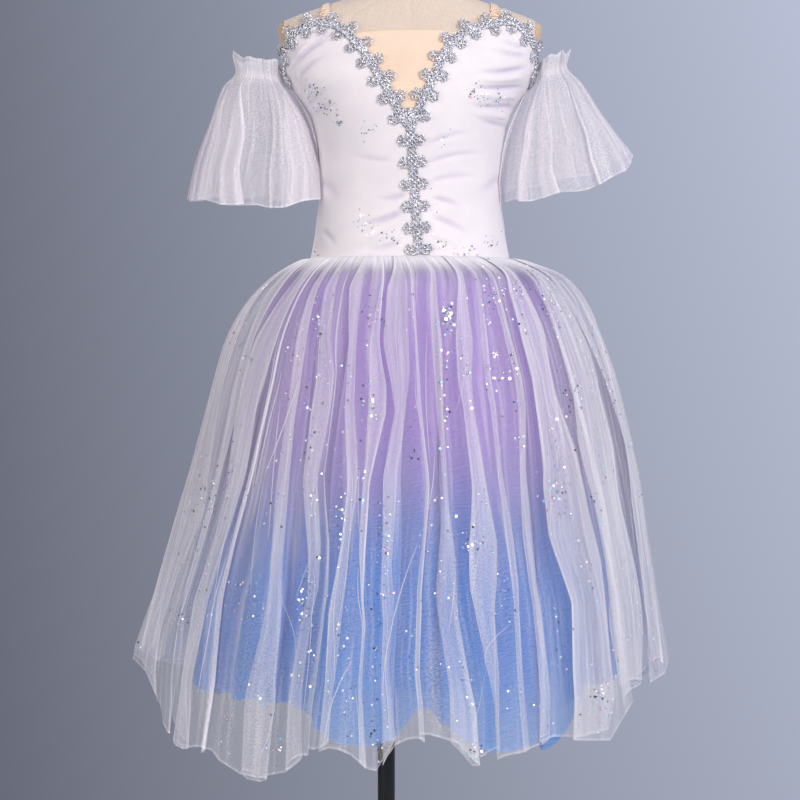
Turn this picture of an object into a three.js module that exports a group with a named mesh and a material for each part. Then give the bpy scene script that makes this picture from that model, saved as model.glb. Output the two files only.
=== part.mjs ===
// A child's long ballet dress on a limbless dress form with a stand.
//
// Millimetres, +Z up, +X to the viewer's right, and the front faces -Y. The origin is the middle of
// the base plate's underside, on the floor. The dress has a fitted bodice with a pointed neckline,
// a plain insert in its opening, two straps, a scalloped trim, two gathered off-shoulder sleeves
// that hang free, and a skirt of two gathered layers of net. All cloth is a thin wall. The form is a
// smooth padded torso without arms, and its pole stands a little to the left of its middle.

import * as THREE from "three";

// Driving sizes.
const CLOTH = 1.5; // wall of the cloth
const SEAM = 0.3; // gap between pieces that are sewn together
const EASE = 2; // from the form to the inside of the bodice
const WAIST_SEAM = 792; // height of the seam between the bodice and the skirt
const PERIOD = 23.6; // length of one repeat of the trim
const TRIM_BRAID = 5; // half width of the trim between its scallops
const TRIM_REACH = 15.5; // half width of the trim at a scallop
const TRIM_THICK = 1.6;
const STRAP_WIDE = 8;
const STRAP_THICK = 1.2;
const STRAP_AT = 92; // the straps' distance from the middle
const POLE_X = -26; // the pole stands left of the middle
const POLE_R = 9.5;
const BASE_R = 165;
const BASE_THICK = 8;
const COLLAR_R = 19;
const COLLAR_HIGH = 32;
const COLLAR_UPRIGHT = 9.6; // height of the collar's straight foot
const COLLAR_LIP = 4; // wall of the collar at its top
const ROUND = 24; // sides of what is turned
const FORM_FOOT = 600; // underside of the torso
const FORM_TOP = 1140; // top of the neck
const SOCKET_HIGH = 10;
const SOCKET_R = 32;
const CAP_R = 42;
const CAP_HIGH = 22;

// The form, section by section: height, half width, depth to the front and to the back, and how
// square the section is (2 is an ellipse).
const FORM = [
  { z: 600, side: 110, front: 82, back: 90, square: 2.2 },
  { z: 612, side: 117, front: 88, back: 96, square: 2.2 },
  { z: 650, side: 122, front: 91, back: 101, square: 2.2 },
  { z: 690, side: 123, front: 92, back: 102, square: 2.2 },
  { z: 740, side: 117, front: 89, back: 95, square: 2.2 },
  { z: 792, side: 105.5, front: 83, back: 82, square: 2.2 },
  { z: 820, side: 100.5, front: 79, back: 73, square: 2.2 },
  { z: 850, side: 97, front: 76, back: 67, square: 2.2 },
  { z: 890, side: 97, front: 78, back: 67, square: 2.2 },
  { z: 925, side: 100.5, front: 82, back: 72, square: 2.25 },
  { z: 945, side: 105, front: 84, back: 77, square: 2.3 },
  { z: 960, side: 113, front: 84, back: 80, square: 2.3 },
  { z: 975, side: 124, front: 82, back: 82, square: 2.35 },
  { z: 990, side: 133, front: 79, back: 82, square: 2.4 },
  { z: 1005, side: 137.5, front: 74, back: 80, square: 2.4 },
  { z: 1020, side: 140.5, front: 68, back: 76, square: 2.4 },
  { z: 1035, side: 144, front: 61, back: 70, square: 2.4 },
  { z: 1047, side: 143.5, front: 54, back: 63, square: 2.4 },
  { z: 1055, side: 130, front: 50, back: 57, square: 2.3 },
  { z: 1062, side: 111, front: 47, back: 52, square: 2.2 },
  { z: 1069, side: 91, front: 45, back: 48, square: 2.1 },
  { z: 1077, side: 69, front: 43, back: 46, square: 2 },
  { z: 1087, side: 52, front: 42, back: 44, square: 2 },
  { z: 1100, side: 45, front: 40, back: 42, square: 2 },
  { z: 1120, side: 43, front: 39, back: 41, square: 2 },
  { z: 1140, side: 42.5, front: 39, back: 40, square: 2 },
];

// The bodice's upper edge: share of the half width from the middle, and height on the left and on
// the right. In front it rises from the point of the neckline to a peak, and falls down the armhole.
const FRONT_EDGE = [
  { across: 0, left: 928, right: 928 },
  { across: 0.095, left: 941.5, right: 948.5 },
  { across: 0.165, left: 957.5, right: 970 },
  { across: 0.222, left: 974.5, right: 991 },
  { across: 0.285, left: 990.5, right: 1011 },
  { across: 0.34, left: 1004.5, right: 1022 },
  { across: 0.42, left: 1021, right: 1031.5 },
  { across: 0.51, left: 1034.5, right: 1036.5 },
  { across: 0.6, left: 1040.5, right: 1039.5 },
  { across: 0.69, left: 1042.5, right: 1043.5 },
  { across: 0.775, left: 1039, right: 1042.5 },
  { across: 0.85, left: 1033.5, right: 1034.5 },
  { across: 0.93, left: 1021, right: 1022.5 },
  { across: 0.968, left: 1009, right: 1010 },
  { across: 0.985, left: 996, right: 996 },
  { across: 0.995, left: 983, right: 983 },
  { across: 1, left: 965, right: 965 },
];
const BACK_EDGE = [
  { across: 0, left: 980, right: 980 },
  { across: 0.3, left: 984, right: 984 },
  { across: 0.62, left: 992, right: 992 },
  { across: 0.85, left: 986, right: 986 },
  { across: 0.97, left: 973, right: 973 },
  { across: 1, left: 965, right: 965 },
];
const INSERT_TOP = 1034; // top edge of the insert in the middle
const INSERT_HOLLOW = 6; // how much lower it is where it meets the bodice
const INSERT_SPAN = 22; // how far the insert reaches to each side, in degrees: a column of the bodice
const INSERT_GAP = 1.6; // between the edges of the insert and of the bodice, along the form

// The two skirts, section by section along the cloth: how far down the cloth, the half width, the
// depth to the front and to the back, how square the section is, how far it leans to the right, how
// far it is below the waist seam, and how deep the folds are.
const GLITTER = [
  { run: 0, side: 111, front: 88.5, back: 87.5, square: 2.2, lean: 0, drop: 0, fold: 0.3 },
  { run: 9, side: 117.5, front: 94, back: 93, square: 2.2, lean: 0, drop: -1.5, fold: 1 },
  { run: 22, side: 128, front: 103, back: 102, square: 2.15, lean: 1, drop: 2, fold: 2 },
  { run: 55, side: 155, front: 123, back: 124, square: 2.1, lean: 4, drop: 18, fold: 4 },
  { run: 94, side: 181, front: 141, back: 144, square: 2, lean: 6, drop: 46, fold: 6 },
  { run: 142, side: 200, front: 160, back: 165, square: 2, lean: 7, drop: 89, fold: 8 },
  { run: 210, side: 219, front: 179, back: 185, square: 2, lean: 6, drop: 154, fold: 9.5 },
  { run: 290, side: 237, front: 196, back: 203, square: 2, lean: 4, drop: 232, fold: 11 },
  { run: 370, side: 253, front: 211, back: 219, square: 2, lean: 0, drop: 310, fold: 13 },
  { run: 450, side: 270, front: 225, back: 234, square: 2, lean: -5, drop: 388, fold: 15 },
  { run: 520, side: 284, front: 236, back: 245, square: 2, lean: -9, drop: 457, fold: 16.5 },
  { run: 610, side: 292, front: 245, back: 255, square: 2, lean: -9, drop: 546, fold: 18 },
];
const OMBRE = [
  { run: 0, side: 108.3, front: 85.8, back: 84.8, square: 2.2, lean: 0, drop: 0.4, fold: 0.2 },
  { run: 15, side: 115, front: 92, back: 91, square: 2.2, lean: 0, drop: 6, fold: 1 },
  { run: 50, side: 138, front: 110, back: 111, square: 2.1, lean: 1, drop: 27, fold: 3 },
  { run: 100, side: 162, front: 130, back: 133, square: 2, lean: 4, drop: 70, fold: 5.5 },
  { run: 170, side: 180, front: 147, back: 151, square: 2, lean: 5, drop: 138, fold: 8 },
  { run: 260, side: 195, front: 161, back: 167, square: 2, lean: 3, drop: 227, fold: 10 },
  { run: 360, side: 209, front: 173, back: 180, square: 2, lean: 0, drop: 326, fold: 12 },
  { run: 450, side: 219, front: 181, back: 190, square: 2, lean: -3, drop: 415, fold: 13.5 },
  { run: 560, side: 227, front: 188, back: 198, square: 2, lean: -5, drop: 525, fold: 15 },
];
// Where each skirt has a ring, as shares of the way from the waist to the hem.
const GLITTER_RINGS = [0, 0.022, 0.07, 0.15, 0.3, 0.52, 0.76, 1];
const OMBRE_RINGS = [0, 0.05, 0.15, 0.36, 0.66, 1];
const TROUGH = -0.85; // depth of every valley between folds, in shares of the fold's depth
const FLANK = 0.5; // height of the points on both sides of a crest, in shares of the crest
const FOLD_PLACES = [0, 0.24, 0.5, 0.76]; // the valley, the flanks and the crest across a fold

// The folds of the outer skirt, from the left side across the front to the right side, and from
// there across the back: width in degrees, height in shares of the fold's depth, height of the hem.
const GLITTER_FOLDS = [
  { wide: 14, high: 0.9, hem: 368 },
  { wide: 12, high: 1.1, hem: 354 },
  { wide: 11, high: 0.7, hem: 284 },
  { wide: 8, high: 1.1, hem: 264 },
  { wide: 8, high: 0.8, hem: 247 },
  { wide: 8, high: 1, hem: 244 },
  { wide: 10, high: 0.7, hem: 268 },
  { wide: 8, high: 1.1, hem: 284 },
  { wide: 9, high: 1.2, hem: 252 },
  { wide: 10, high: 0.6, hem: 292 },
  { wide: 12, high: 1.1, hem: 266 },
  { wide: 9, high: 0.8, hem: 282 },
  { wide: 9, high: 1, hem: 286 },
  { wide: 8, high: 0.7, hem: 286 },
  { wide: 9, high: 1.1, hem: 298 },
  { wide: 11, high: 0.9, hem: 346 },
  { wide: 12, high: 1.1, hem: 356 },
  { wide: 12, high: 0.9, hem: 366 },
  { wide: 12, high: 1, hem: 352 },
  { wide: 11, high: 0.8, hem: 336 },
  { wide: 12, high: 1.1, hem: 322 },
  { wide: 10, high: 0.9, hem: 310 },
  { wide: 12, high: 1.2, hem: 300 },
  { wide: 11, high: 0.7, hem: 308 },
  { wide: 12, high: 1, hem: 296 },
  { wide: 10, high: 1.1, hem: 304 },
  { wide: 11, high: 0.8, hem: 312 },
  { wide: 12, high: 1.2, hem: 302 },
  { wide: 10, high: 0.9, hem: 316 },
  { wide: 12, high: 1, hem: 322 },
  { wide: 11, high: 0.8, hem: 334 },
  { wide: 12, high: 1.1, hem: 346 },
  { wide: 10, high: 0.9, hem: 358 },
  { wide: 12, high: 1, hem: 366 },
];
const OMBRE_FOLDS = [
  { wide: 14, high: 1, hem: 316 },
  { wide: 16, high: 0.8, hem: 312 },
  { wide: 13, high: 1.1, hem: 304 },
  { wide: 17, high: 0.8, hem: 296 },
  { wide: 14, high: 1, hem: 288 },
  { wide: 15, high: 0.7, hem: 284 },
  { wide: 17, high: 1.1, hem: 282 },
  { wide: 14, high: 0.9, hem: 276 },
  { wide: 16, high: 1, hem: 272 },
  { wide: 14, high: 0.8, hem: 284 },
  { wide: 16, high: 1.1, hem: 294 },
  { wide: 14, high: 0.9, hem: 308 },
];

// The sleeves, section by section from the frill at the top to the hem: the outer and the inner end
// of the section seen from the front, its half depth, the depth of its folds, and how far its front
// hangs below its ends.
const LEFT_SLEEVE = [
  { outX: -195, outZ: 1014, inX: -139, inZ: 1003, deep: 33, fold: 3, sag: 0 },
  { outX: -192, outZ: 994, inX: -138, inZ: 985, deep: 28, fold: 1.2, sag: 1 },
  { outX: -205, outZ: 979, inX: -126, inZ: 972, deep: 36, fold: 3, sag: 2 },
  { outX: -218, outZ: 940, inX: -108, inZ: 938, deep: 47, fold: 5, sag: 5 },
  { outX: -231, outZ: 900, inX: -98, inZ: 900, deep: 55, fold: 6.5, sag: 9 },
  { outX: -240, outZ: 859, inX: -92, inZ: 862, deep: 61, fold: 8, sag: 15 },
];
const RIGHT_SLEEVE = [
  { outX: 174, outZ: 1018, inX: 137, inZ: 1004, deep: 32, fold: 3, sag: 0 },
  { outX: 173, outZ: 1000, inX: 136, inZ: 987, deep: 27, fold: 1.2, sag: 1 },
  { outX: 188, outZ: 984, inX: 126, inZ: 972, deep: 35, fold: 3, sag: 3 },
  { outX: 207, outZ: 953, inX: 109, inZ: 935, deep: 46, fold: 5, sag: 8 },
  { outX: 225, outZ: 927, inX: 98, inZ: 893, deep: 54, fold: 6.5, sag: 16 },
  { outX: 243, outZ: 901, inX: 93, inZ: 853, deep: 60, fold: 8, sag: 25 },
];
const SLEEVE_FOLDS = [1, 0.7, 1.2, 0.8, 1.1, 0.9, 1, 0.7, 1.2, 0.8, 1, 1.1, 0.8, 0.9];
const SLEEVE_EASE = 1.2; // from the sleeve to the bodice or the trim that it hangs against

const RAD = Math.PI / 180;

// The value of a table's column at a place along it, on a smooth curve through the rows.
function along(rows, key, name, at) {
  const last = rows.length - 1;
  const place = Math.min(Math.max(at, rows[0][name]), rows[last][name]);
  let i = 0;
  while (i < last - 1 && rows[i + 1][name] < place) i += 1;
  const slope = (j) => {
    const a = rows[Math.max(j - 1, 0)];
    const b = rows[Math.min(j + 1, last)];
    return (b[key] - a[key]) / (b[name] - a[name]);
  };
  const span = rows[i + 1][name] - rows[i][name];
  const t = (place - rows[i][name]) / span;
  const from = (2 * t ** 3 - 3 * t ** 2 + 1) * rows[i][key] + (t ** 3 - 2 * t ** 2 + t) * span * slope(i);
  return from + (3 * t ** 2 - 2 * t ** 3) * rows[i + 1][key] + (t ** 3 - t ** 2) * span * slope(i + 1);
}

const power = (value, exponent) => Math.sign(value) * Math.abs(value) ** exponent;

// The form's section at a height.
function section(z) {
  const value = (key) => along(FORM, key, "z", z);
  return { side: value("side"), front: value("front"), back: value("back"), square: value("square") };
}

// A point on the form: the angle in degrees from the front towards +X, and the height.
function formPoint(angle, z) {
  const s = section(z);
  const forward = Math.cos(angle * RAD);
  const deep = forward > 0 ? s.front : s.back;
  const x = s.side * power(Math.sin(angle * RAD), 2 / s.square);
  return new THREE.Vector3(x, -deep * power(forward, 2 / s.square), z);
}

// How far along a ray the last surface of some meshes lies.
const ray = new THREE.Raycaster();
function lastHit(meshes, start, direction) {
  ray.set(start, direction);
  const hits = ray.intersectObjects(meshes);
  return hits.length > 0 ? hits.at(-1).distance : 0;
}

// A point moved straight out from the form's axis until it is clear of some meshes.
function clearOf(meshes, point, gap) {
  const start = new THREE.Vector3(0, 0, point.z);
  const direction = point.clone().sub(start);
  const reach = direction.length();
  direction.normalize();
  const needed = lastHit(meshes, start, direction) + gap;
  return start.addScaledVector(direction, Math.max(reach, needed));
}

// A point drawn back towards a place until it is clear of some meshes.
function drawnBack(meshes, towards, point, gap) {
  const direction = point.clone().sub(towards);
  const reach = direction.length();
  direction.normalize();
  ray.set(towards, direction);
  const hits = ray.intersectObjects(meshes);
  const free = hits.length > 0 ? hits[0].distance - gap : reach;
  return towards.clone().addScaledVector(direction, Math.min(reach, free));
}

// A grid of points moved until the wall between them is clear too. The clear function gives the
// place that a point of the wall moves to, from the point and its row.
const CHECKED = [0.2, 0.4, 0.6, 0.8]; // places between two points of the grid
function settled(grid, clear, round) {
  const cols = grid[0].length;
  const check = (r, c, nextRow, nextCol) => {
    const from = grid[r][c];
    const to = grid[nextRow][nextCol % cols];
    let shift = new THREE.Vector3();
    for (const share of CHECKED) {
      const place = from.clone().lerp(to, share);
      const needed = clear(place, r + (nextRow - r) * share).sub(place);
      if (needed.length() > shift.length()) shift = needed;
    }
    from.add(shift);
    to.add(shift);
  };
  const spans = round ? cols : cols - 1;
  for (let r = 0; r < grid.length; r += 1) {
    for (let c = 0; c < spans; c += 1) check(r, c, r, c + 1);
    if (r === grid.length - 1) break;
    for (let c = 0; c < cols; c += 1) {
      check(r, c, r + 1, c);
      if (c < spans) check(r, c, r + 1, c + 1);
    }
  }
  return grid;
}

// The same point moved out of the form, square to its surface.
function overForm(angle, z, out) {
  const turn = formPoint(angle + 0.5, z).sub(formPoint(angle - 0.5, z));
  const rise = formPoint(angle, z + 0.5).sub(formPoint(angle, z - 0.5));
  return turn.cross(rise).normalize().multiplyScalar(out).add(formPoint(angle, z));
}

// A point slid sideways, at its own height, onto the surface that lies that far outside the form.
function ontoForm(point, out) {
  const share = shareOfForm(point, out);
  return new THREE.Vector3(point.x / share, point.y / share, point.z);
}

// How far out a point lies: 1 on the surface that is that far outside the form, less inside it.
function shareOfForm(point, out) {
  const s = section(point.z);
  const deep = (point.y < 0 ? s.front : s.back) + out;
  const sum = (Math.abs(point.x) / (s.side + out)) ** s.square + (Math.abs(point.y) / deep) ** s.square;
  return sum ** (1 / s.square);
}

// The angle from the front at which a share of the half width lies, at a height.
const angleAcross = (across, z) => Math.asin(Math.min(across, 1) ** (section(z).square / 2)) / RAD;
const byAngle = (rows, side) =>
  rows.map((row) => ({ angle: angleAcross(row.across, row[side]), z: row[side] }));
function topOf(rows) {
  const left = byAngle(rows, "left");
  const right = byAngle(rows, "right");
  return (angle) => along(angle < 0 ? left : right, "z", "angle", Math.abs(angle));
}
const frontTop = topOf(FRONT_EDGE);
const backTop = topOf(BACK_EDGE);

// A closed wall between two grids of points. Rows run upwards, and columns run anticlockwise seen
// from above, all the way round if the wall is closed on itself.
function wall(outer, inner, round) {
  const rows = outer.length;
  const cols = outer[0].length;
  const at = (side, r, c) => (side * rows + r) * cols + (c % cols);
  const faces = [];
  const quad = (a, b, c, d) => faces.push(a, b, c, a, c, d);
  const spans = round ? cols : cols - 1;
  for (let c = 0; c < spans; c += 1) {
    for (let r = 0; r < rows - 1; r += 1) {
      quad(at(0, r, c), at(0, r, c + 1), at(0, r + 1, c + 1), at(0, r + 1, c));
      quad(at(1, r, c), at(1, r + 1, c), at(1, r + 1, c + 1), at(1, r, c + 1));
    }
    quad(at(0, 0, c + 1), at(0, 0, c), at(1, 0, c), at(1, 0, c + 1));
    quad(at(0, rows - 1, c), at(0, rows - 1, c + 1), at(1, rows - 1, c + 1), at(1, rows - 1, c));
  }
  if (!round) {
    for (let r = 0; r < rows - 1; r += 1) {
      quad(at(0, r, 0), at(0, r + 1, 0), at(1, r + 1, 0), at(1, r, 0));
      quad(at(0, r + 1, cols - 1), at(0, r, cols - 1), at(1, r, cols - 1), at(1, r + 1, cols - 1));
    }
  }
  return geometryOf([...outer.flat(), ...inner.flat()], faces);
}

// A solid stack of rings, closed at both ends.
function stack(rings) {
  const cols = rings[0].length;
  const at = (r, c) => r * cols + (c % cols);
  const points = rings.flat();
  const faces = [];
  const cap = (ring, r, up) => {
    const middle = ring.reduce((sum, p) => sum.add(p), new THREE.Vector3()).divideScalar(cols);
    points.push(middle);
    for (let c = 0; c < cols; c += 1) {
      const pair = up ? [at(r, c), at(r, c + 1)] : [at(r, c + 1), at(r, c)];
      faces.push(...pair, points.length - 1);
    }
  };
  for (let r = 0; r < rings.length - 1; r += 1) {
    for (let c = 0; c < cols; c += 1) {
      faces.push(at(r, c), at(r, c + 1), at(r + 1, c + 1), at(r, c), at(r + 1, c + 1), at(r + 1, c));
    }
  }
  cap(rings[0], 0, false);
  cap(rings.at(-1), rings.length - 1, true);
  return geometryOf(points, faces);
}

function geometryOf(points, faces) {
  const geometry = new THREE.BufferGeometry().setFromPoints(points);
  geometry.setIndex(faces);
  geometry.computeVertexNormals();
  return geometry;
}

// A grid of points moved out along its own normals.
function moved(grid, out, round) {
  const rows = grid.length;
  const cols = grid[0].length;
  const near = (c) => (round ? (c + cols) % cols : Math.min(Math.max(c, 0), cols - 1));
  return grid.map((row, r) =>
    row.map((point, c) => {
      const turn = row[near(c + 1)].clone().sub(row[near(c - 1)]);
      const rise = grid[Math.min(r + 1, rows - 1)][c].clone().sub(grid[Math.max(r - 1, 0)][c]);
      return turn.cross(rise).normalize().multiplyScalar(out).add(point);
    }),
  );
}

// The form's torso and neck.
const FORM_COLUMNS = 36;
function torso() {
  const angles = [...Array(FORM_COLUMNS).keys()].map((c) => (c * 360) / FORM_COLUMNS);
  return stack(FORM.map((row) => angles.map((angle) => formPoint(angle, row.z))));
}

// A bodice panel between two angles, up to its upper edge, in front or at the back.
const PANEL_ROWS = [0, 0.12, 0.24, 0.38, 0.52, 0.66, 0.78, 0.88, 0.95, 1];
const HALF_PANEL = [0, 7, 14, 22, 30, 38, 46, 54, 62, 70, 77, 84, 90];
function panel(middle, top, torsoMesh) {
  const angles = [...HALF_PANEL.slice(1).reverse().map((a) => -a), ...HALF_PANEL];
  const seam = ((middle === 0 ? -1 : 1) * SEAM) / 2;
  const layer = (out) =>
    PANEL_ROWS.map((share) =>
      angles.map((angle) => {
        const z = WAIST_SEAM + (top(angle) - WAIST_SEAM) * share;
        const point = overForm(middle + angle, z, out);
        return Math.abs(angle) === 90 ? point.setY(seam) : point;
      }),
    );
  const clear = (gap) => (point) => clearOf([torsoMesh], point, gap + SEAM);
  const inner = settled(layer(EASE), clear(2 * SEAM), false);
  const outer = settled(layer(EASE + CLOTH), clear(2 * SEAM + CLOTH), false);
  return wall(outer, inner, false);
}

// The insert that fills the pointed opening.
const INSERT_ROWS = [0, 0.35, 0.7, 1];
function insert(torsoMesh) {
  const half = HALF_PANEL.filter((angle) => angle <= INSERT_SPAN);
  const angles = [...half.slice(1).reverse().map((a) => -a), ...half];
  const layer = (out) =>
    INSERT_ROWS.map((share) =>
      angles.map((angle) => {
        const low = frontTop(angle) + INSERT_GAP;
        const high = Math.max(INSERT_TOP - INSERT_HOLLOW * (angle / INSERT_SPAN) ** 2, low + 1);
        return overForm(angle, low + (high - low) * share, out);
      }),
    );
  const clear = (gap) => (point) => clearOf([torsoMesh], point, gap);
  const inner = settled(layer(EASE), clear(2 * SEAM), false);
  const outer = settled(layer(EASE + CLOTH), clear(2 * SEAM + CLOTH), false);
  return wall(outer, inner, false);
}

// A strap over one shoulder, from the peak of the bodice to its back edge. Its places are where
// lines from a point inside the shoulder leave the form.
const STRAP_STEPS = 16;
const STRAP_OUT = 1;
const STRAP_FRONT = { z: 1050.5, out: 55 }; // where the front end leaves the bodice's edge
const STRAP_BACK = { z: 993.5, out: 72 };
const STRAP_INSIDE = 1010;
function strap(side, torsoMesh) {
  const first = Math.atan2(STRAP_FRONT.z - STRAP_INSIDE, STRAP_FRONT.out);
  const last = Math.PI - Math.atan2(STRAP_BACK.z - STRAP_INSIDE, STRAP_BACK.out);
  const layer = (out) =>
    [-1, 1].map((edge) =>
      [...Array(STRAP_STEPS + 1).keys()].map((step) => {
        const lean = first + ((last - first) * step) / STRAP_STEPS;
        const start = new THREE.Vector3(side * STRAP_AT + (edge * STRAP_WIDE) / 2, 0, STRAP_INSIDE);
        const direction = new THREE.Vector3(0, -Math.cos(lean), Math.sin(lean));
        const reach = lastHit([torsoMesh], start, direction) + out;
        return start.addScaledVector(direction, reach);
      }),
    );
  return wall(layer(STRAP_OUT), layer(STRAP_OUT + STRAP_THICK), false);
}

// The trim is a strip with scallops on both sides, laid on the bodice along a path of points.
const SCALLOP = [
  { at: 0, wide: 0 },
  { at: 0.16, wide: 0.35 },
  { at: 0.3, wide: 0.85 },
  { at: 0.5, wide: 1 },
  { at: 0.7, wide: 0.85 },
  { at: 0.84, wide: 0.35 },
];
const TRIM_OUT = EASE + CLOTH + SEAM;

function trim(path, under, limit) {
  const repeats = path.getLength() / PERIOD;
  const stations = [];
  for (let n = 0; n < repeats; n += 1) {
    for (const row of SCALLOP) stations.push({ at: Math.min(n + row.at, repeats), wide: row.wide });
  }
  const kept = stations.filter((station, n) => n === 0 || station.at < repeats - 0.05);
  kept.push({ at: repeats, wide: kept.at(-1).wide });
  const layer = (out) =>
    [-1, 0, 1].map((side) =>
      kept.map((station) => {
        const middle = path.getPointAt(station.at / repeats);
        const ahead = path.getTangentAt(station.at / repeats);
        const outward = new THREE.Vector3(middle.x, middle.y, 0).normalize();
        const across = outward.cross(ahead).normalize();
        const wide = TRIM_BRAID + (TRIM_REACH - TRIM_BRAID) * station.wide;
        const point = ontoForm(across.multiplyScalar(side * wide).add(middle), EASE + CLOTH + out);
        return limit(clearOf(under, point, out));
      }),
    );
  const clear = (gap) => (point) => limit(clearOf(under, point, gap + SEAM));
  const inner = settled(layer(SEAM), clear(SEAM), false);
  const outer = settled(layer(SEAM + TRIM_THICK), clear(SEAM + TRIM_THICK), false);
  return wall(outer, inner, false);
}

// One arm of the neckline's trim, from the point up over the peak and down the armhole.
const ARM_TRIM_END = 85; // degrees from the front, just short of the side seam
const ARM_TRIM_STEPS = 60;
function armTrim(side, under) {
  const points = [...Array(ARM_TRIM_STEPS + 1).keys()].map((n) => {
    const angle = (side * ARM_TRIM_END * n) / ARM_TRIM_STEPS;
    return overForm(angle, frontTop(angle), TRIM_OUT);
  });
  const limit = (point) => point.setX(side * Math.max(side * point.x, SEAM / 2));
  return trim(new THREE.CatmullRomCurve3(points), under, limit);
}

const CENTRE_TRIM = { high: 923, low: 795, lean: 4 }; // the lean in degrees, to the right at its foot
const CENTRE_TRIM_STEPS = 8;
function centreTrim(under) {
  const { high, low, lean } = CENTRE_TRIM;
  const points = [...Array(CENTRE_TRIM_STEPS + 1).keys()].map((n) => {
    const share = n / CENTRE_TRIM_STEPS;
    return overForm(lean * share, high + (low - high) * share, TRIM_OUT);
  });
  return trim(new THREE.CatmullRomCurve3(points), under, (point) => point);
}

// One sleeve: a gathered tube with a frill above its narrowest place.
const PER_FOLD = 4; // columns for each fold of a sleeve or a skirt
function sleeve(table, side, under) {
  const rows = [...table].reverse();
  const columns = SLEEVE_FOLDS.length * PER_FOLD;
  const halfWay = (row) => new THREE.Vector3((row.outX + row.inX) / 2, 0, (row.outZ + row.inZ) / 2);
  const middles = rows.map(halfWay);
  const grid = rows.map((row, r) =>
    [...Array(columns).keys()].map((c) => {
      const turn = (2 * Math.PI * c) / columns;
      const high = SLEEVE_FOLDS[Math.floor(c / PER_FOLD)];
      const wave = [TROUGH, 0, high, 0][c % PER_FOLD]; // valley, flank, crest and flank
      const reach = new THREE.Vector3((row.outX - row.inX) / 2, 0, (row.outZ - row.inZ) / 2);
      const stretch = 1 + (wave * row.fold) / reach.length();
      const point = middles[r].clone().addScaledVector(reach, Math.cos(turn) * stretch);
      point.y += Math.sin(turn) * row.deep * stretch * side;
      point.z -= row.sag * Math.max(0, -Math.sin(turn) * side);
      return drawnBack(under, middles[r], point, SLEEVE_EASE);
    }),
  );
  const middleAt = (row) => {
    const below = Math.min(Math.floor(row), rows.length - 2);
    return middles[below].clone().lerp(middles[below + 1], row - below);
  };
  const clear = (point, row) => drawnBack(under, middleAt(row), point, SLEEVE_EASE);
  const outer = settled(settled(grid, clear, true), clear, true);
  return wall(outer, moved(outer, -CLOTH, true), true);
}

// One skirt: each fold has its own columns, and every column ends at the height of its hem.
function skirt(profile, shares, folds) {
  let start = -90;
  const columns = folds.flatMap((fold, n) => {
    const before = folds.at(n - 1);
    const after = folds[(n + 1) % folds.length];
    const valley = (before.hem + fold.hem) / 2;
    const hems = [valley, (valley + fold.hem) / 2, fold.hem, (3 * fold.hem + after.hem) / 4];
    const waves = [TROUGH, FLANK * fold.high, fold.high, FLANK * fold.high];
    const angle = start;
    start += fold.wide;
    return waves.map((wave, k) => {
      const place = fold.wide * FOLD_PLACES[k];
      return { angle: angle + place, wave, hem: hems[k] };
    });
  });
  const lastDrop = profile.at(-1).drop;
  const middle = [...shares].reverse().map((share) =>
    columns.map((column) => {
      const drop = Math.min(WAIST_SEAM - column.hem, lastDrop);
      const full = along(profile, "run", "drop", drop);
      const run = full * share;
      const value = (key) => along(profile, key, "run", run);
      const forward = Math.cos(column.angle * RAD);
      const deep = forward > 0 ? value("front") : value("back");
      const out = value("fold") * column.wave;
      const reach = 2 / value("square");
      const x = value("lean") + (value("side") + out) * power(Math.sin(column.angle * RAD), reach);
      const y = -(deep + out) * power(forward, reach);
      return new THREE.Vector3(x, y, WAIST_SEAM - value("drop") - SEAM);
    }),
  );
  return wall(moved(middle, CLOTH / 2, true), moved(middle, -CLOTH / 2, true), true);
}

// An upright cylinder with its edges broken, between two heights.
function rod(radius, low, high, x = 0, edge = 1) {
  const outline = [
    [0, low],
    [radius - edge, low],
    [radius, low + edge],
    [radius, high - edge],
    [radius - edge, high],
    [0, high],
  ].map(([r, z]) => new THREE.Vector2(r, z));
  return new THREE.LatheGeometry(outline, ROUND).rotateX(Math.PI / 2).translate(x, 0, 0);
}

// A ring round the pole, where it enters the base.
function collar() {
  const inside = POLE_R + SEAM;
  const low = BASE_THICK + SEAM;
  const outline = [
    [inside, low],
    [COLLAR_R, low],
    [COLLAR_R, low + COLLAR_UPRIGHT],
    [POLE_R + COLLAR_LIP, low + COLLAR_HIGH],
    [inside, low + COLLAR_HIGH],
    [inside, low],
  ].map(([r, z]) => new THREE.Vector2(r, z));
  return new THREE.LatheGeometry(outline, ROUND).rotateX(Math.PI / 2).translate(POLE_X, 0, 0);
}

const finish = (color, roughness, metalness = 0) =>
  new THREE.MeshStandardMaterial({ color, roughness, metalness, side: THREE.DoubleSide });
const satin = finish(0xece8f2, 0.55);
const nude = finish(0xf3d9bd, 0.6);
const silver = finish(0xa9adb8, 0.35, 0.8);
const net = finish(0xe6e3ef, 0.7);
const ombre = finish(0xa99ad8, 0.7);
const linen = finish(0xe3d3bd, 0.9);
const wood = finish(0xcaa67c, 0.5);
const steel = finish(0x17171a, 0.35, 0.6);

const dress = new THREE.Group();
function add(name, geometry, material) {
  const mesh = new THREE.Mesh(geometry, material);
  mesh.name = name;
  dress.add(mesh);
  return mesh;
}

const socketFoot = FORM_FOOT - SEAM - SOCKET_HIGH;
const form = add("form_torso", torso(), linen);
add("form_cap", rod(CAP_R, FORM_TOP + SEAM, FORM_TOP + CAP_HIGH, 0, 6), wood);
add("form_socket", rod(SOCKET_R, socketFoot, FORM_FOOT - SEAM, POLE_X, 2), steel);
add("stand_pole", rod(POLE_R, BASE_THICK + SEAM, socketFoot - SEAM, POLE_X), steel);
add("stand_collar", collar(), steel);
add("stand_base", rod(BASE_R, 0, BASE_THICK, 0, 2), steel);

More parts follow.
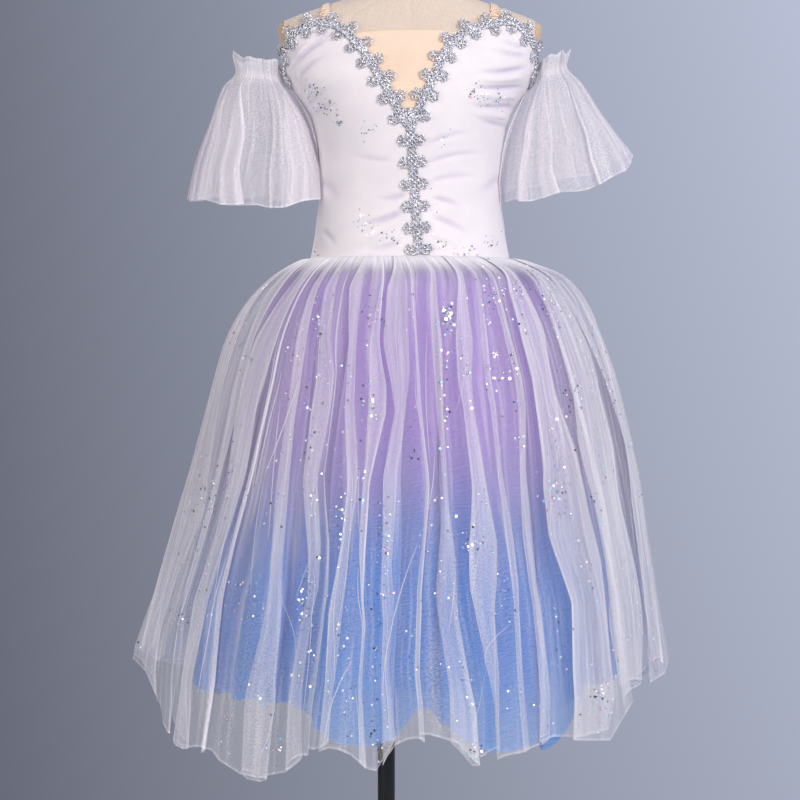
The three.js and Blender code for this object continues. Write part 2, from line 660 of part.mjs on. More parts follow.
const bodice = [
  add("bodice_front", panel(0, frontTop, form), satin),
  add("bodice_back", panel(180, backTop, form), satin),
  add("neck_insert", insert(form), nude),
  add("strap_left", strap(-1, form), nude),
  add("strap_right", strap(1, form), nude),
];
const trims = [
  add("trim_left", armTrim(-1, bodice), silver),
  add("trim_right", armTrim(1, bodice), silver),
  add("trim_centre", centreTrim(bodice), silver),
];
const worn = [form, ...bodice, ...trims];
add("sleeve_left", sleeve(LEFT_SLEEVE, -1, worn), net);
add("sleeve_right", sleeve(RIGHT_SLEEVE, 1, worn), net);
add("skirt_ombre", skirt(OMBRE, OMBRE_RINGS, [...OMBRE_FOLDS, ...OMBRE_FOLDS]), ombre);
add("skirt_glitter", skirt(GLITTER, GLITTER_RINGS, GLITTER_FOLDS), net);

export default dress;
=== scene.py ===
"""A child's long ballet dress on a limbless dress form with a stand.

Sizes are millimetres, +Z is up, +X is to the viewer's right and the front faces -Y. Meshes are made
in metres. Each piece of cloth is a thin sheet on the form of its solid, with its own folds.
"""

import math
import random

import bpy
import numpy as np
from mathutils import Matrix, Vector
from mathutils.bvhtree import BVHTree


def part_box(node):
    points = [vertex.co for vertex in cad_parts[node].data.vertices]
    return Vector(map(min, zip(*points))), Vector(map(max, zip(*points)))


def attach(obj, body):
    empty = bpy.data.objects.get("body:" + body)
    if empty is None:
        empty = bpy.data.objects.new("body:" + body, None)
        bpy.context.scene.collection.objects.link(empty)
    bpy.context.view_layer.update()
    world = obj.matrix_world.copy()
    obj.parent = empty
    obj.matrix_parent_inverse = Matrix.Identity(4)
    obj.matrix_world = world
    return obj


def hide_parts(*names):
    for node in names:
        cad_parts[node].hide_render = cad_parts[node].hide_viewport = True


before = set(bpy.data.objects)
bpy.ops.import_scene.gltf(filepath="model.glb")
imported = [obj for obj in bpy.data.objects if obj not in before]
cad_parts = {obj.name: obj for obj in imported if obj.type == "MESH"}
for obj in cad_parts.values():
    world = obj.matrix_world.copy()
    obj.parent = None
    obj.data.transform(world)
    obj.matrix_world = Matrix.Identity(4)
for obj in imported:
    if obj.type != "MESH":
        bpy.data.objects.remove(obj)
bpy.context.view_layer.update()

MM = 0.001
BODY = "root"


def low_of(node):
    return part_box(node)[0] / MM


def high_of(node):
    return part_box(node)[1] / MM


def table(columns, *rows):
    """Rows of numbers as one array for each named column."""
    return {name: np.array(values, float) for name, values in zip(columns.split(), zip(*rows))}


# Sizes that the frame gives.
WAIST_SEAM = low_of("bodice_front")[2] - 4  # the net is sewn over the bodice's lower edge
POLE_X = (low_of("stand_pole")[0] + high_of("stand_pole")[0]) / 2
POLE_R = (high_of("stand_pole")[0] - low_of("stand_pole")[0]) / 2
BASE_R = high_of("stand_base")[0]
POLE_JOINT = 328  # height of the groove between the pole's two lengths

# Driving sizes of the pieces.
BODICE_OUT = 3.5  # from the form to the outside of the bodice
CLOTH = 0.9  # wall of the knit
TRIM_OUT = 4.2
PERIOD = 23.6  # one repeat of the trim
STRAP_WIDE = 8
STRAP_AT = 92
STRAP_OUT = 1.4

PLATE_AT = 137  # the shoulder's end plates start this far from the middle
PLATE_LOW, PLATE_HIGH = 1003.5, 1050.5

# The photo's frame: how far one of its pixels reaches in the plane through the stand, where its
# middle looks, and how far away the camera stands.
PIXEL = 1.1
LOOK_X = -11
LOOK_Z = 635.5
CAMERA_FAR = 3000
HALF_FRAME = 400

FORM = table(
    "z side front back square",
    (600, 110, 82, 90, 2.2),
    (612, 117, 88, 96, 2.2),
    (650, 122, 91, 101, 2.2),
    (690, 123, 92, 102, 2.2),
    (740, 117, 89, 95, 2.2),
    (792, 105.5, 83, 82, 2.2),
    (820, 100.5, 79, 73, 2.2),
    (850, 97, 76, 67, 2.2),
    (890, 97, 78, 67, 2.2),
    (925, 100.5, 82, 72, 2.25),
    (945, 105, 84, 77, 2.3),
    (960, 113, 84, 80, 2.3),
    (975, 124, 82, 82, 2.35),
    (990, 133, 79, 82, 2.4),
    (1005, 137.5, 74, 80, 2.4),
    (1020, 140.5, 68, 76, 2.4),
    (1035, 144, 61, 70, 2.4),
    (1047, 143.5, 54, 63, 2.4),
    (1055, 130, 50, 57, 2.3),
    (1062, 111, 47, 52, 2.2),
    (1069, 91, 45, 48, 2.1),
    (1077, 69, 43, 46, 2),
    (1087, 52, 42, 44, 2),
    (1100, 45, 40, 42, 2),
    (1120, 43, 39, 41, 2),
    (1140, 42.5, 39, 40, 2),
)

# The bodice's upper edge: share of the half width from the middle, height on the left and right.
FRONT_EDGE = table(
    "across left right",
    (0, 928, 928),
    (0.095, 941.5, 948.5),
    (0.165, 957.5, 970),
    (0.222, 974.5, 991),
    (0.285, 990.5, 1011),
    (0.34, 1004.5, 1022),
    (0.42, 1021, 1031.5),
    (0.51, 1034.5, 1036.5),
    (0.6, 1040.5, 1039.5),
    (0.69, 1042.5, 1043.5),
    (0.775, 1039, 1042.5),
    (0.85, 1033.5, 1034.5),
    (0.93, 1021, 1022.5),
    (0.968, 1009, 1010),
    (0.985, 996, 996),
    (0.995, 983, 983),
    (1, 965, 965),
)
BACK_EDGE = table(
    "across left right",
    (0, 980, 980),
    (0.3, 984, 984),
    (0.62, 992, 992),
    (0.85, 986, 986),
    (0.97, 973, 973),
    (1, 965, 965),
)

# The skirts along the cloth: how far down it, half width, depth to the front and back, how square
# the section is, how far it leans to the right, how far it is below the waist, the depth of its
# folds, and the depth of the small gathers between them.
GLITTER = table(
    "run side front back square lean drop fold fine",
    (0, 111, 88.5, 87.5, 2.2, 0, 0, 0.3, 0.3),
    (9, 117.5, 94, 93, 2.2, 1, -1.5, 1, 0.7),
    (22, 129, 103, 102, 2.15, 4, 2, 2, 1.2),
    (55, 159, 124, 125, 2.1, 10, 18, 4, 1.6),
    (94, 183, 142, 145, 2, 9, 46, 6.5, 1.6),
    (142, 202, 161, 166, 2, 7, 89, 9, 1.4),
    (210, 220, 180, 186, 2, 6, 154, 11, 1.4),
    (290, 237, 196, 203, 2, 4, 232, 12.5, 1.4),
    (370, 253, 211, 219, 2, 0, 310, 14, 1.4),
    (450, 270, 225, 234, 2, -5, 388, 16, 1.4),
    (520, 284, 236, 245, 2, -9, 457, 17.5, 1.4),
    (610, 292, 245, 255, 2, -9, 546, 19, 1.4),
)
OMBRE = table(
    "run side front back square lean drop fold fine",
    (0, 108.3, 85.8, 84.8, 2.2, 0, 0.4, 0.2, 0.3),
    (15, 115, 92, 91, 2.2, 0, 6, 1, 1),
    (50, 138, 110, 111, 2.1, 1, 27, 3, 1.8),
    (100, 162, 130, 133, 2, 4, 70, 5.5, 2),
    (170, 180, 147, 151, 2, 5, 138, 8, 1.8),
    (260, 195, 161, 167, 2, 3, 227, 10, 1.5),
    (360, 209, 173, 180, 2, 0, 326, 12, 1.5),
    (450, 219, 181, 190, 2, -3, 415, 13.5, 1.5),
    (560, 227, 188, 198, 2, -5, 525, 15, 1.5),
)

# The height of each skirt's hem where the photo doesn't show it, by the angle from the front
# towards the right.
GLITTER_HEM = table(
    "angle z",
    (96, 352),
    (107.5, 336),
    (119, 322),
    (130, 310),
    (141, 300),
    (152.5, 308),
    (164, 296),
    (175, 304),
    (185.5, 312),
    (197, 302),
    (208, 316),
    (219, 322),
    (230.5, 334),
    (242, 346),
    (253, 358),
    (264, 366),
)
OMBRE_HEM = table(
    "angle z",
    (97, 316),
    (112, 312),
    (126.5, 304),
    (141.5, 296),
    (157, 288),
    (171.5, 284),
    (187.5, 282),
    (203, 276),
    (218, 272),
    (233, 284),
    (248, 294),
    (263, 308),
)

# Where the outer skirt lies three deep, as the photo shows it: the left and right edge of each such
# strip at five rows of the photo, and the level of the cloth after it in shares of the fold's depth.
TRACK_ROWS = (290, 380, 485, 590, 700)
STRIPS = table(
    "l0 l1 l2 l3 l4 r0 r1 r2 r3 r4 level",
    (252, 217, 181, 149, 140, 268, 235, 211, 186, 176, 0.9),
    (272, 237, 216, 193, 179, 284, 249, 226, 199, 184, 0.1),
    (288, 251, 234, 201, 187, 301, 269, 243, 208, 194, 0.8),
    (303, 277, 253, 226, 212, 305, 279, 257, 231, 216, 0.3),
    (309, 290, 278, 261, 235, 321, 303, 291, 282, 271, -0.85),
    (326, 318, 305, 311, 289, 332, 332, 312, 316, 297, 0.7),
    (341, 336, 323, 325, 316, 344, 338, 326, 330, 319, -0.3),
    (352, 349, 352, 339, 326, 363, 356, 358, 347, 331, 0.8),
    (378, 371, 363, 359, 359, 383, 386, 376, 364, 366, -0.7),
    (391, 390, 388, 380, 384, 406, 410, 398, 387, 394, 0.6),
    (412, 418, 424, 417, 420, 414, 420, 427, 419, 422, 0.2),
    (429, 434, 443, 440, 451, 436, 442, 448, 461, 479, -0.85),
    (455, 458, 473, 470, 490, 467, 474, 490, 500, 502, 0.9),
    (475, 482, 497, 511, 518, 478, 486, 501, 515, 521, 0.2),
    (491, 518, 524, 530, 545, 496, 522, 529, 533, 550, -0.6),
    (506, 531, 537, 556, 572, 527, 555, 582, 606, 615, 0.9),
    (536, 566, 586, 608, 620, 538, 568, 588, 610, 622, 0.3),
    (543, 577, 594, 614, 627, 554, 600, 616, 634, 645, -0.7),
    (556, 603, 622, 638, 650, 564, 613, 643, 657, 667, 0.7),
)
BACK_STRIPS = 20  # strips of the outer skirt that the photo doesn't show

# The outer skirt's hem from the left to the right, as the photo shows it.
HEM_PIXELS = table(
    "px py",
    (136, 646),
    (150, 656),
    (163, 665),
    (170, 676),
    (174, 700),
    (177, 728),
    (190, 745),
    (215, 748),
    (226, 765),
    (245, 776),
    (265, 780),
    (285, 771),
    (297, 757),
    (315, 749),
    (333, 744),
    (350, 751),
    (363, 764),
    (369, 780),
    (378, 771),
    (388, 751),
    (396, 741),
    (411, 737),
    (432, 735),
    (455, 741),
    (468, 753),
    (476, 770),
    (484, 762),
    (490, 755),
    (520, 750),
    (545, 742),
    (560, 737),
    (590, 737),
    (606, 738),
    (615, 733),
    (618, 712),
    (621, 690),
    (640, 681),
    (660, 668),
    (668, 656),
)
OMBRE_HEM_PIXELS = table(
    "px py",
    (197, 683),
    (215, 691),
    (240, 698),
    (270, 701),
    (290, 706),
    (312, 722),
    (333, 738),
    (352, 746),
    (372, 746),
    (391, 739),
    (403, 737),
    (407, 712),
    (435, 708),
    (440, 722),
    (452, 731),
    (470, 745),
    (487, 752),
    (520, 752),
    (546, 745),
    (557, 728),
    (572, 702),
    (590, 686),
    (612, 674),
)

# The ombre skirt's strips, by their angle, width and level.
OMBRE_STRIPS = table(
    "angle wide level",
    (-83, 1.0, 0.9),
    (-68, 2.5, -0.85),
    (-53.5, 1.5, 0.8),
    (-38.5, 3.0, -0.7),
    (-24, 1.0, 0.9),
    (-6, 6.0, -0.85),
    (9, 1.5, 0.5),
    (23, 2.0, -0.6),
    (38, 1.0, 1.0),
    (53, 3.0, -0.85),
    (68, 1.5, 0.8),
    (83, 2.0, -0.7),
)

# The sleeves from the frill down to the hem: the share of the way, the section's outer and inner
# end seen from the front, its half depth, the depth of its folds, and how far its front hangs below.
LEFT_SLEEVE = table(
    "down outX outZ inX inZ deep fold sag",
    (0, -195, 1014, -139, 1003, 33, 3, 0),
    (0.13, -192, 994, -138, 985, 28, 1.2, 1),
    (0.25, -205, 979, -126, 972, 36, 3, 2),
    (0.5, -218, 940, -108, 938, 47, 7, 5),
    (0.75, -231, 900, -98, 900, 54, 9, 9),
    (1, -240, 859, -92, 862, 59, 11, 15),
)
RIGHT_SLEEVE = table(
    "down outX outZ inX inZ deep fold sag",
    (0, 174, 1018, 137, 1004, 32, 3, 0),
    (0.13, 173, 1000, 136, 987, 27, 1.2, 1),
    (0.25, 188, 984, 126, 972, 35, 3, 3),
    (0.5, 207, 953, 109, 935, 46, 7, 8),
    (0.75, 225, 928, 98, 896, 53, 9, 17),
    (1, 242, 903, 93, 862, 58, 11, 25),
)
SLEEVE_EASE = 1.2

# Creases of the bodice, seen from the front: both ends, half width and depth.
CREASES = table(
    "x0 z0 x1 z1 wide deep",
    (-130, 998, -84, 1028, 3.4, -2.4),
    (-126, 1006, -96, 1026, 3.0, 1.6),
    (-124, 984, -92, 1008, 3.2, -1.8),
    (-120, 972, -88, 986, 4.0, 1.2),
    (-112, 956, -84, 972, 3.5, -1.0),
    (-6, 856, -34, 850, 3.2, -1.8),
    (-8, 838, -58, 824, 3.6, -2.4),
    (-8, 822, -70, 798, 4.5, 1.6),
    (-10, 806, -48, 796, 3.5, -1.4),
    (24, 852, 56, 842, 3.0, -1.6),
    (22, 832, 66, 812, 3.6, -1.6),
    (24, 812, 58, 798, 4.0, 1.2),
    (128, 1008, 84, 1016, 3.2, -1.6),
    (127, 996, 70, 988, 3.4, -2.4),
    (125, 986, 64, 980, 3.2, 1.6),
    (123, 976, 62, 972, 3.0, -2.2),
    (120, 966, 66, 964, 3.4, 1.4),
    (116, 956, 60, 952, 3.0, -1.8),
    (112, 944, 60, 946, 4.0, 1.0),
    (108, 934, 70, 938, 3.5, -1.3),
    (-108, 944, -80, 954, 4, -1.0),
    (98, 880, 74, 858, 6, -1.2),
    (-97, 876, -78, 850, 6, -1.2),
    (-96, 820, -80, 800, 4, -1.0),
    (16, 908, 74, 924, 4, -0.9),
    (16, 888, 84, 902, 3.6, -1.1),
    (16, 868, 80, 876, 4, -0.9),
    (-22, 892, -66, 900, 4, -0.8),
    (-118, 1012, -74, 1036, 3, -1.3),
    (126, 1018, 96, 1026, 3, -1.2),
)


def along(rows, column, name, at):
    """A table's column at places along it, on a smooth curve through the rows."""
    x, y = rows[name], rows[column]
    slope = np.gradient(y, x)
    slope[1:-1] = (y[2:] - y[:-2]) / (x[2:] - x[:-2])
    at = np.clip(at, x[0], x[-1])
    i = np.clip(np.searchsorted(x, at, side="right") - 1, 0, len(x) - 2)
    span = x[i + 1] - x[i]
    t = (at - x[i]) / span
    start = (2 * t**3 - 3 * t**2 + 1) * y[i] + (t**3 - 2 * t**2 + t) * span * slope[i]
    return start + (3 * t**2 - 2 * t**3) * y[i + 1] + (t**3 - t**2) * span * slope[i + 1]


def power(value, exponent):
    return np.sign(value) * np.abs(value) ** exponent


def ramp(value, start, end):
    """0 before start, 1 after end, and smooth between them."""
    t = np.clip((value - start) / (end - start), 0, 1)
    return t * t * (3 - 2 * t)


def form_point(angle, z):
    """Points on the form, from the angle in degrees from the front towards +X, and the height."""
    angle, z = np.broadcast_arrays(np.radians(angle), z)
    reach = 2 / along(FORM, "square", "z", z)
    forward = np.cos(angle)
    deep = np.where(forward > 0, along(FORM, "front", "z", z), along(FORM, "back", "z", z))
    x = along(FORM, "side", "z", z) * power(np.sin(angle), reach)
    return np.stack([x, -deep * power(forward, reach), z], axis=-1)


def over_form(angle, z, out):
    """The same points moved out of the form, square to its surface."""
    turn = form_point(angle + 0.5, z) - form_point(angle - 0.5, z)
    rise = form_point(angle, z + 0.5) - form_point(angle, z - 0.5)
    normal = np.cross(turn, rise)
    normal /= np.linalg.norm(normal, axis=-1, keepdims=True)
    return form_point(angle, z) + normal * np.asarray(out)[..., None]


def top_of(rows):
    """The height of an upper edge at an angle from the middle of its panel."""
    sides = []
    for side in ("left", "right"):
        square = along(FORM, "square", "z", rows[side])
        angle = np.degrees(np.arcsin(rows["across"] ** (square / 2)))
        sides.append({"angle": angle, "z": rows[side]})
    left, right = sides

    def height(angle):
        away = np.abs(angle)
        return np.where(
            np.asarray(angle) < 0, along(left, "z", "angle", away), along(right, "z", "angle", away)
        )

    return height


front_top = top_of(FRONT_EDGE)
back_top = top_of(BACK_EDGE)


def photo_ray(px, py):
    """The line of sight through a pixel of the photo: where it starts and its direction."""
    direction = Vector(((px - HALF_FRAME) * PIXEL, CAMERA_FAR, (HALF_FRAME - py) * PIXEL))
    return Vector((LOOK_X, -CAMERA_FAR, LOOK_Z)), direction.normalized()


# Meshes.
def new_object(name, mesh, material):
    mesh.materials.append(material)
    made = bpy.data.objects.new(name, mesh)
    bpy.context.scene.collection.objects.link(made)
    return made


def mesh_of(name, points, faces, smooth=True):
    mesh = bpy.data.meshes.new(name)
    mesh.from_pydata((np.asarray(points).reshape(-1, 3) * MM).tolist(), [], faces)
    mesh.polygons.foreach_set("use_smooth", [smooth] * len(mesh.polygons))
    mesh.update()
    return mesh


def point_values(mesh, name, values):
    """A number for each point of a mesh, which its material reads by name."""
    mesh.attributes.new(name, "FLOAT", "POINT").data.foreach_set(
        "value", np.asarray(values, np.float32).ravel()
    )


def grid_faces(rows, cols, closed, first=0):
    spans = cols if closed else cols - 1
    r, c = np.meshgrid(np.arange(rows - 1), np.arange(spans), indexing="ij")
    after = (c + 1) % cols
    quads = [r * cols + c, r * cols + after, (r + 1) * cols + after, (r + 1) * cols + c]
    return (np.stack([q.ravel() for q in quads], axis=1) + first).tolist()


def sheet_mesh(name, points, closed, across, down):
    """One layer of cloth on a grid of points. across and down are the cloth's own coordinates, with
    one more column than the points where the cloth is closed on itself."""
    rows, cols = points.shape[:2]
    mesh = mesh_of(name, points, grid_faces(rows, cols, closed))
    spans = cols if closed else cols - 1
    r, c = np.meshgrid(np.arange(rows - 1), np.arange(spans), indexing="ij")
    corners = [(r, c), (r, c + 1), (r + 1, c + 1), (r + 1, c)]
    uv = np.stack([np.stack([across[i, j], down[i, j]], axis=-1) for i, j in corners], axis=2)
    mesh.uv_layers.new(name="cloth").data.foreach_set("uv", (uv * MM).astype(np.float32).ravel())
    return mesh


def turned(name, outline, material, x=0.0, sides=96, sharp=35):
    """A body of revolution round an upright axis, from (radius, height) pairs from foot to top."""
    ring = np.radians(np.arange(sides) * 360 / sides)
    points = []
    rings = [(r, z) for r, z in outline if r > 0]
    for r, z in rings:
        points += [(x + r * math.cos(a), r * math.sin(a), z) for a in ring]
    faces = grid_faces(len(rings), sides, True)
    if outline[0] == outline[-1]:
        points = points[:-sides]
        faces = [[i % len(points) for i in face] for face in faces]
    else:
        faces.append(list(range(sides))[::-1])
        faces.append([(len(rings) - 1) * sides + i for i in range(sides)])
    mesh = mesh_of(name, points, faces)
    mesh.set_sharp_from_angle(angle=math.radians(sharp))
    return new_object(name, mesh, material)


def tube(points, radius, sides=6, closed=False):
    """The points and faces of a tube along a line of points. radius may change along it."""
    points = np.asarray(points, float)
    count = len(points)
    if closed:
        ahead = np.roll(points, -1, axis=0) - np.roll(points, 1, axis=0)
    else:
        ahead = np.gradient(points, axis=0)
    ahead /= np.linalg.norm(ahead, axis=1, keepdims=True)
    up = np.array((0.31, -0.62, 0.72))
    side = np.cross(ahead, up)
    side /= np.linalg.norm(side, axis=1, keepdims=True)
    over = np.cross(side, ahead)
    turn = np.arange(sides) * 2 * np.pi / sides
    radius = np.broadcast_to(radius, count)[:, None, None]
    ring = np.cos(turn)[None, :, None] * side[:, None] + np.sin(turn)[None, :, None] * over[:, None]
    skin = points[:, None] + radius * ring
    faces = grid_faces(count, sides, True)
    if closed:
        last = (count - 1) * sides
        for s in range(sides):
            after = (s + 1) % sides
            faces.append([last + s, last + after, after, s])
    else:
        faces.append(list(range(sides))[::-1])
        faces.append([(count - 1) * sides + s for s in range(sides)])
    return skin.reshape(-1, 3), faces


class Heap:
    """Many small shapes joined into one mesh, with a number for each shape."""

    def __init__(self):
        self.points, self.faces, self.tints, self.count = [], [], [], 0

    def add(self, points, faces, tint):
        self.points.append(np.asarray(points, float))
        self.faces += [[i + self.count for i in face] for face in faces]
        self.tints.append(np.full(len(points), tint))
        self.count += len(points)

    def object(self, name, material, smooth=True):
        mesh = mesh_of(name, np.concatenate(self.points), self.faces, smooth)
        point_values(mesh, "tint", np.concatenate(self.tints))
        return new_object(name, mesh, material)


def tree_of(*objects):
    """A tree that rays can be cast at, in millimetres."""
    points, faces = [], []
    for obj in objects:
        first = len(points)
        points += [obj.matrix_world @ v.co / MM for v in obj.data.vertices]
        faces += [[first + i for i in p.vertices] for p in obj.data.polygons]
    return BVHTree.FromPolygons(points, faces)


# Materials.
class Finish:
    """One material: a Principled shader and the nodes that feed it."""

    def __init__(self, name, **values):
        self.material = bpy.data.materials.new(name)
        self.material.use_nodes = True
        self.tree = self.material.node_tree
        self.shader = self.tree.nodes["Principled BSDF"]
        for key, value in values.items():
            self.set(key.replace("_", " "), value)

    def set(self, socket, value):
        """Feeds one of the shader's sockets with a value or another node's output."""
        self.feed(self.shader.inputs[socket], value)

    def feed(self, socket, value):
        if isinstance(value, bpy.types.NodeSocket):
            self.tree.links.new(value, socket)
        elif value is not None:
            socket.default_value = value

    def node(self, kind, inputs=(), **settings):
        made = self.tree.nodes.new("ShaderNode" + kind)
        for key, value in settings.items():
            setattr(made, key, value)
        for key, value in dict(inputs).items():
            self.feed(made.inputs[key], value)
        return made

    def math(self, operation, *values):
        return self.node("Math", dict(enumerate(values)), operation=operation).outputs[0]

    def place(self, scale=(1, 1, 1), turn=0.0, of="Object"):
        """A texture's coordinates: the object's own, or the cloth's (UV), scaled and turned."""
        source = self.node("TexCoord").outputs[of]
        inputs = {"Vector": source, "Scale": scale, "Rotation": (0, 0, math.radians(turn))}
        return self.node("Mapping", inputs).outputs[0]

    def noise(self, vector, scale, detail=2.0, rough=0.5, dimensions="3D"):
        inputs = {"Vector": vector, "Scale": scale, "Detail": detail, "Roughness": rough}
        return self.node("TexNoise", inputs, noise_dimensions=dimensions).outputs["Fac"]

    def wave(self, vector, scale, direction="X", distortion=0.0):
        inputs = {"Vector": vector, "Scale": scale, "Distortion": distortion}
        return self.node("TexWave", inputs, bands_direction=direction).outputs["Fac"]

    def cells(self, vector, scale, feature, randomness, output="Distance", dimensions="3D"):
        inputs = {"Vector": vector, "Scale": scale, "Randomness": randomness}
        made = self.node("TexVoronoi", inputs, voronoi_dimensions=dimensions, feature=feature)
        return made.outputs[output]

    def range(self, value, start, end, low, high):
        inputs = {0: value, 1: start, 2: end, 3: low, 4: high}
        return self.node("MapRange", inputs, interpolation_type="SMOOTHSTEP").outputs[0]

    def colours(self, value, *stops):
        """A colour for a number: stops are (place, six digits)."""
        made = self.node("ValToRGB", {"Fac": value})
        elements = made.color_ramp.elements
        for n, (place, digits) in enumerate(stops):
            stop = elements[n] if n < 2 else elements.new(place)
            stop.position = place
            stop.color = colour(digits)
        return made.outputs["Color"]

    def mix(self, share, first, second, blend="MIX"):
        made = self.node("Mix", data_type="RGBA", blend_type=blend)
        for key, value in ((0, share), (6, first), (7, second)):
            self.feed(made.inputs[key], value)
        return made.outputs[2]

    def attribute(self, name):
        return self.node("Attribute", attribute_name=name).outputs["Fac"]

    def bump(self, height, distance, strength=1.0):
        inputs = {"Height": height, "Distance": distance * MM, "Strength": strength}
        self.set("Normal", self.node("Bump", inputs).outputs[0])


def colour(hexadecimal):
    """A colour from its usual six digits, in linear light."""
    parts = [int(hexadecimal[i : i + 2], 16) / 255 for i in (0, 2, 4)]
    linear = [c / 12.92 if c <= 0.04045 else ((c + 0.055) / 1.055) ** 2.4 for c in parts]
    return (*linear, 1.0)


def linen_finish():
    made = Finish("linen", Roughness=0.9)
    place = made.place()
    warp = made.wave(place, 520, "X", 1.5)
    weft = made.wave(place, 520, "Z", 1.5)
    weave = made.math("MULTIPLY", warp, weft)
    slub = made.noise(made.place(scale=(900, 900, 45)), 1.0, 3)
    cloth = made.colours(slub, (0.3, "E8D4C1"), (0.7, "F8E9DB"))
    cloth = made.mix(0.12, cloth, made.colours(weave, (0, "CDB094"), (0.6, "FFF6EA")))
    away = made.math("ABSOLUTE", made.node("SeparateXYZ", {0: place}).outputs[0])
    plate = made.range(away, (PLATE_AT - 0.8) * MM, (PLATE_AT - 0.2) * MM, 0, 0.55)
    made.set("Base Color", made.mix(plate, cloth, colour("D9B07C")))
    made.bump(made.math("ADD", weave, slub), 0.2)
    return made.material


def wood_finish():
    made = Finish("wood", Roughness=0.32)
    grain = made.noise(made.place(scale=(9, 9, 60)), 1.0, 4, 0.6)
    rings = made.wave(made.place(scale=(14, 60, 60)), 1.0, "X", 6.0)
    both = made.math("MULTIPLY", made.math("ADD", grain, rings), 0.5)
    made.set("Base Color", made.colours(both, (0.2, "8A5A33"), (0.8, "C99A66")))
    made.set("Coat Weight", 0.4)
    made.bump(grain, 0.15)
    return made.material


def black_finish():
    made = Finish("black paint", Metallic=0.2, Base_Color=colour("1B1B1E"))
    place = made.place()
    speck = made.noise(place, 900, 2)
    wear = made.noise(place, 14, 4, 0.6)
    made.set("Base Color", made.colours(wear, (0.35, "141416"), (0.75, "26262B")))
    made.set("Roughness", made.range(wear, 0.3, 0.7, 0.3, 0.48))
    made.bump(speck, 0.05)
    return made.material


def knit_finish(name, light, dark, crease_shade, sheen):
    """A fine stretch knit: rows of loops too small to see from a step away, and a soft sheen. Its sunk
    creases are painted towards a shade colour, by the points' crease value.
    """
    made = Finish(name, Roughness=0.62, Sheen_Weight=sheen, Sheen_Roughness=0.4)
    place = made.place()
    loops = made.math("MULTIPLY", made.wave(place, 420, "X"), made.wave(place, 300, "Z"))
    soft = made.noise(place, 30, 3, 0.6)
    cloth = made.colours(soft, (0.2, dark), (0.7, light))
    cloth = made.mix(0.06, cloth, made.colours(loops, (0, dark), (1, light)))
    # Painted shade: the crease value mixes the knit towards its shade colour in the sunk creases.
    made.set("Base Color", made.mix(made.attribute("crease"), cloth, colour(crease_shade)))
    made.bump(loops, 0.12)
    return made.material


def net_finish(name, clear, dark, light, streaks, cell):
    """Fine net: threads with gaps between them, denser where its folds turn and at its edges."""
    made = Finish(name, Roughness=0.8, Sheen_Weight=0.2, Sheen_Roughness=0.5)
    cloth = made.place(of="UV", turn=45)
    net = made.cells(cloth, 1 / (cell * MM), "DISTANCE_TO_EDGE", 0.12, dimensions="2D")
    threads = made.range(net, 0.04, 0.22, 1.6, 0.6)
    streak = made.noise(made.place(of="UV", scale=(150, 5, 1)), 1.0, 2, 0.6, "2D")
    grain = made.range(made.noise(made.place(of="UV"), 620, 1, 0.5, "2D"), 0.3, 0.7, 0.65, 1.35)
    base = made.math("MULTIPLY", made.math("MULTIPLY", threads, clear), grain)
    more = made.math("MULTIPLY", made.range(streak, 0.45, 0.75, 0.0, 1.0), streaks)
    total = made.math("ADD", made.math("ADD", base, more), made.attribute("cover"))
    made.set("Alpha", made.math("MINIMUM", total, 0.96))
    made.set("Base Color", made.colours(streak, (0.3, dark), (0.7, light)))
    return made.material


def ombre_finish():
    """The dyed net: nearly white at the waist, lilac below it, and blue from the knees down, with
    painted highlights along its fold turns.
    """
    made = Finish("ombre net", Roughness=0.9, Specular_IOR_Level=0.15)
    height = made.node("SeparateXYZ", {0: made.place()}).outputs[2]
    blur = made.noise(made.place(scale=(30, 30, 5)), 1.0, 3)
    height = made.math("ADD", height, made.math("MULTIPLY", blur, 0.05))
    share = made.range(height, 0.30, 0.83, 0, 1)
    share.node.interpolation_type = "LINEAR"
    dye = made.colours(
        share,
        (0.0, "5A9EE4"),
        (0.2, "2A82DA"),
        (0.33, "2E80DA"),
        (0.43, "6282D2"),
        (0.52, "9684D0"),
        (0.62, "AA86D6"),
        (0.8, "AE86D8"),
        (0.94, "B08CDA"),
        (0.985, "F6F1F8"),
    )
    moire = made.wave(made.place(of="UV", scale=(0.5, 1, 1), turn=24), 110, "Y", 14)
    grain = made.noise(made.place(of="UV", scale=(0.6, 1, 1)), 520, 1, 0.5, "2D")
    moire = made.math("MULTIPLY", made.math("ADD", moire, grain), 0.5)
    dye = made.mix(0.1, dye, made.colours(moire, (0.3, "5C74B4"), (0.7, "F0F2FF")))
    # Painted highlight: the cover value lightens the dye towards near white along the fold turns; at
    # the waist band, the gathers and the hem it stands for denser cloth.
    edge = made.math("MULTIPLY", made.attribute("cover"), 0.34)
    made.set("Base Color", made.mix(edge, dye, colour("F2F0FA")))
    made.set("Alpha", made.range(made.attribute("down"), 0.84, 1.0, 0.97, 0.72))
    made.bump(moire, 0.1)
    return made.material


def metal_thread_finish():
    """Silver gimp thread: bright and dark turns of foil, with painted glints where its brightest cells
    glow.
    """
    made = Finish("silver thread", Metallic=0.55)
    place = made.place()
    foil = made.cells(place, 900, "F1", 1.0, "Color")
    grey = made.node("SeparateColor", {0: foil}).outputs[0]
    turns = made.noise(place, 500, 2)
    both = made.math("ADD", made.math("MULTIPLY", grey, 0.75), made.math("MULTIPLY", turns, 0.3))
    made.set(
        "Base Color",
        made.colours(both, (0.12, "7B7C88"), (0.4, "C4C5D0"), (0.85, "FBFBFF")),
    )
    made.set("Roughness", made.range(turns, 0.35, 0.65, 0.2, 0.5))
    # Painted glints: the brightest cells of the thread glow white.
    painted_glint = made.range(grey, 0.9, 0.96, 0.0, 0.55)
    made.set("Emission Color", colour("FFFFFF"))
    made.set("Emission Strength", painted_glint)
    made.bump(made.math("ADD", grey, turns), 0.3)
    return made.material


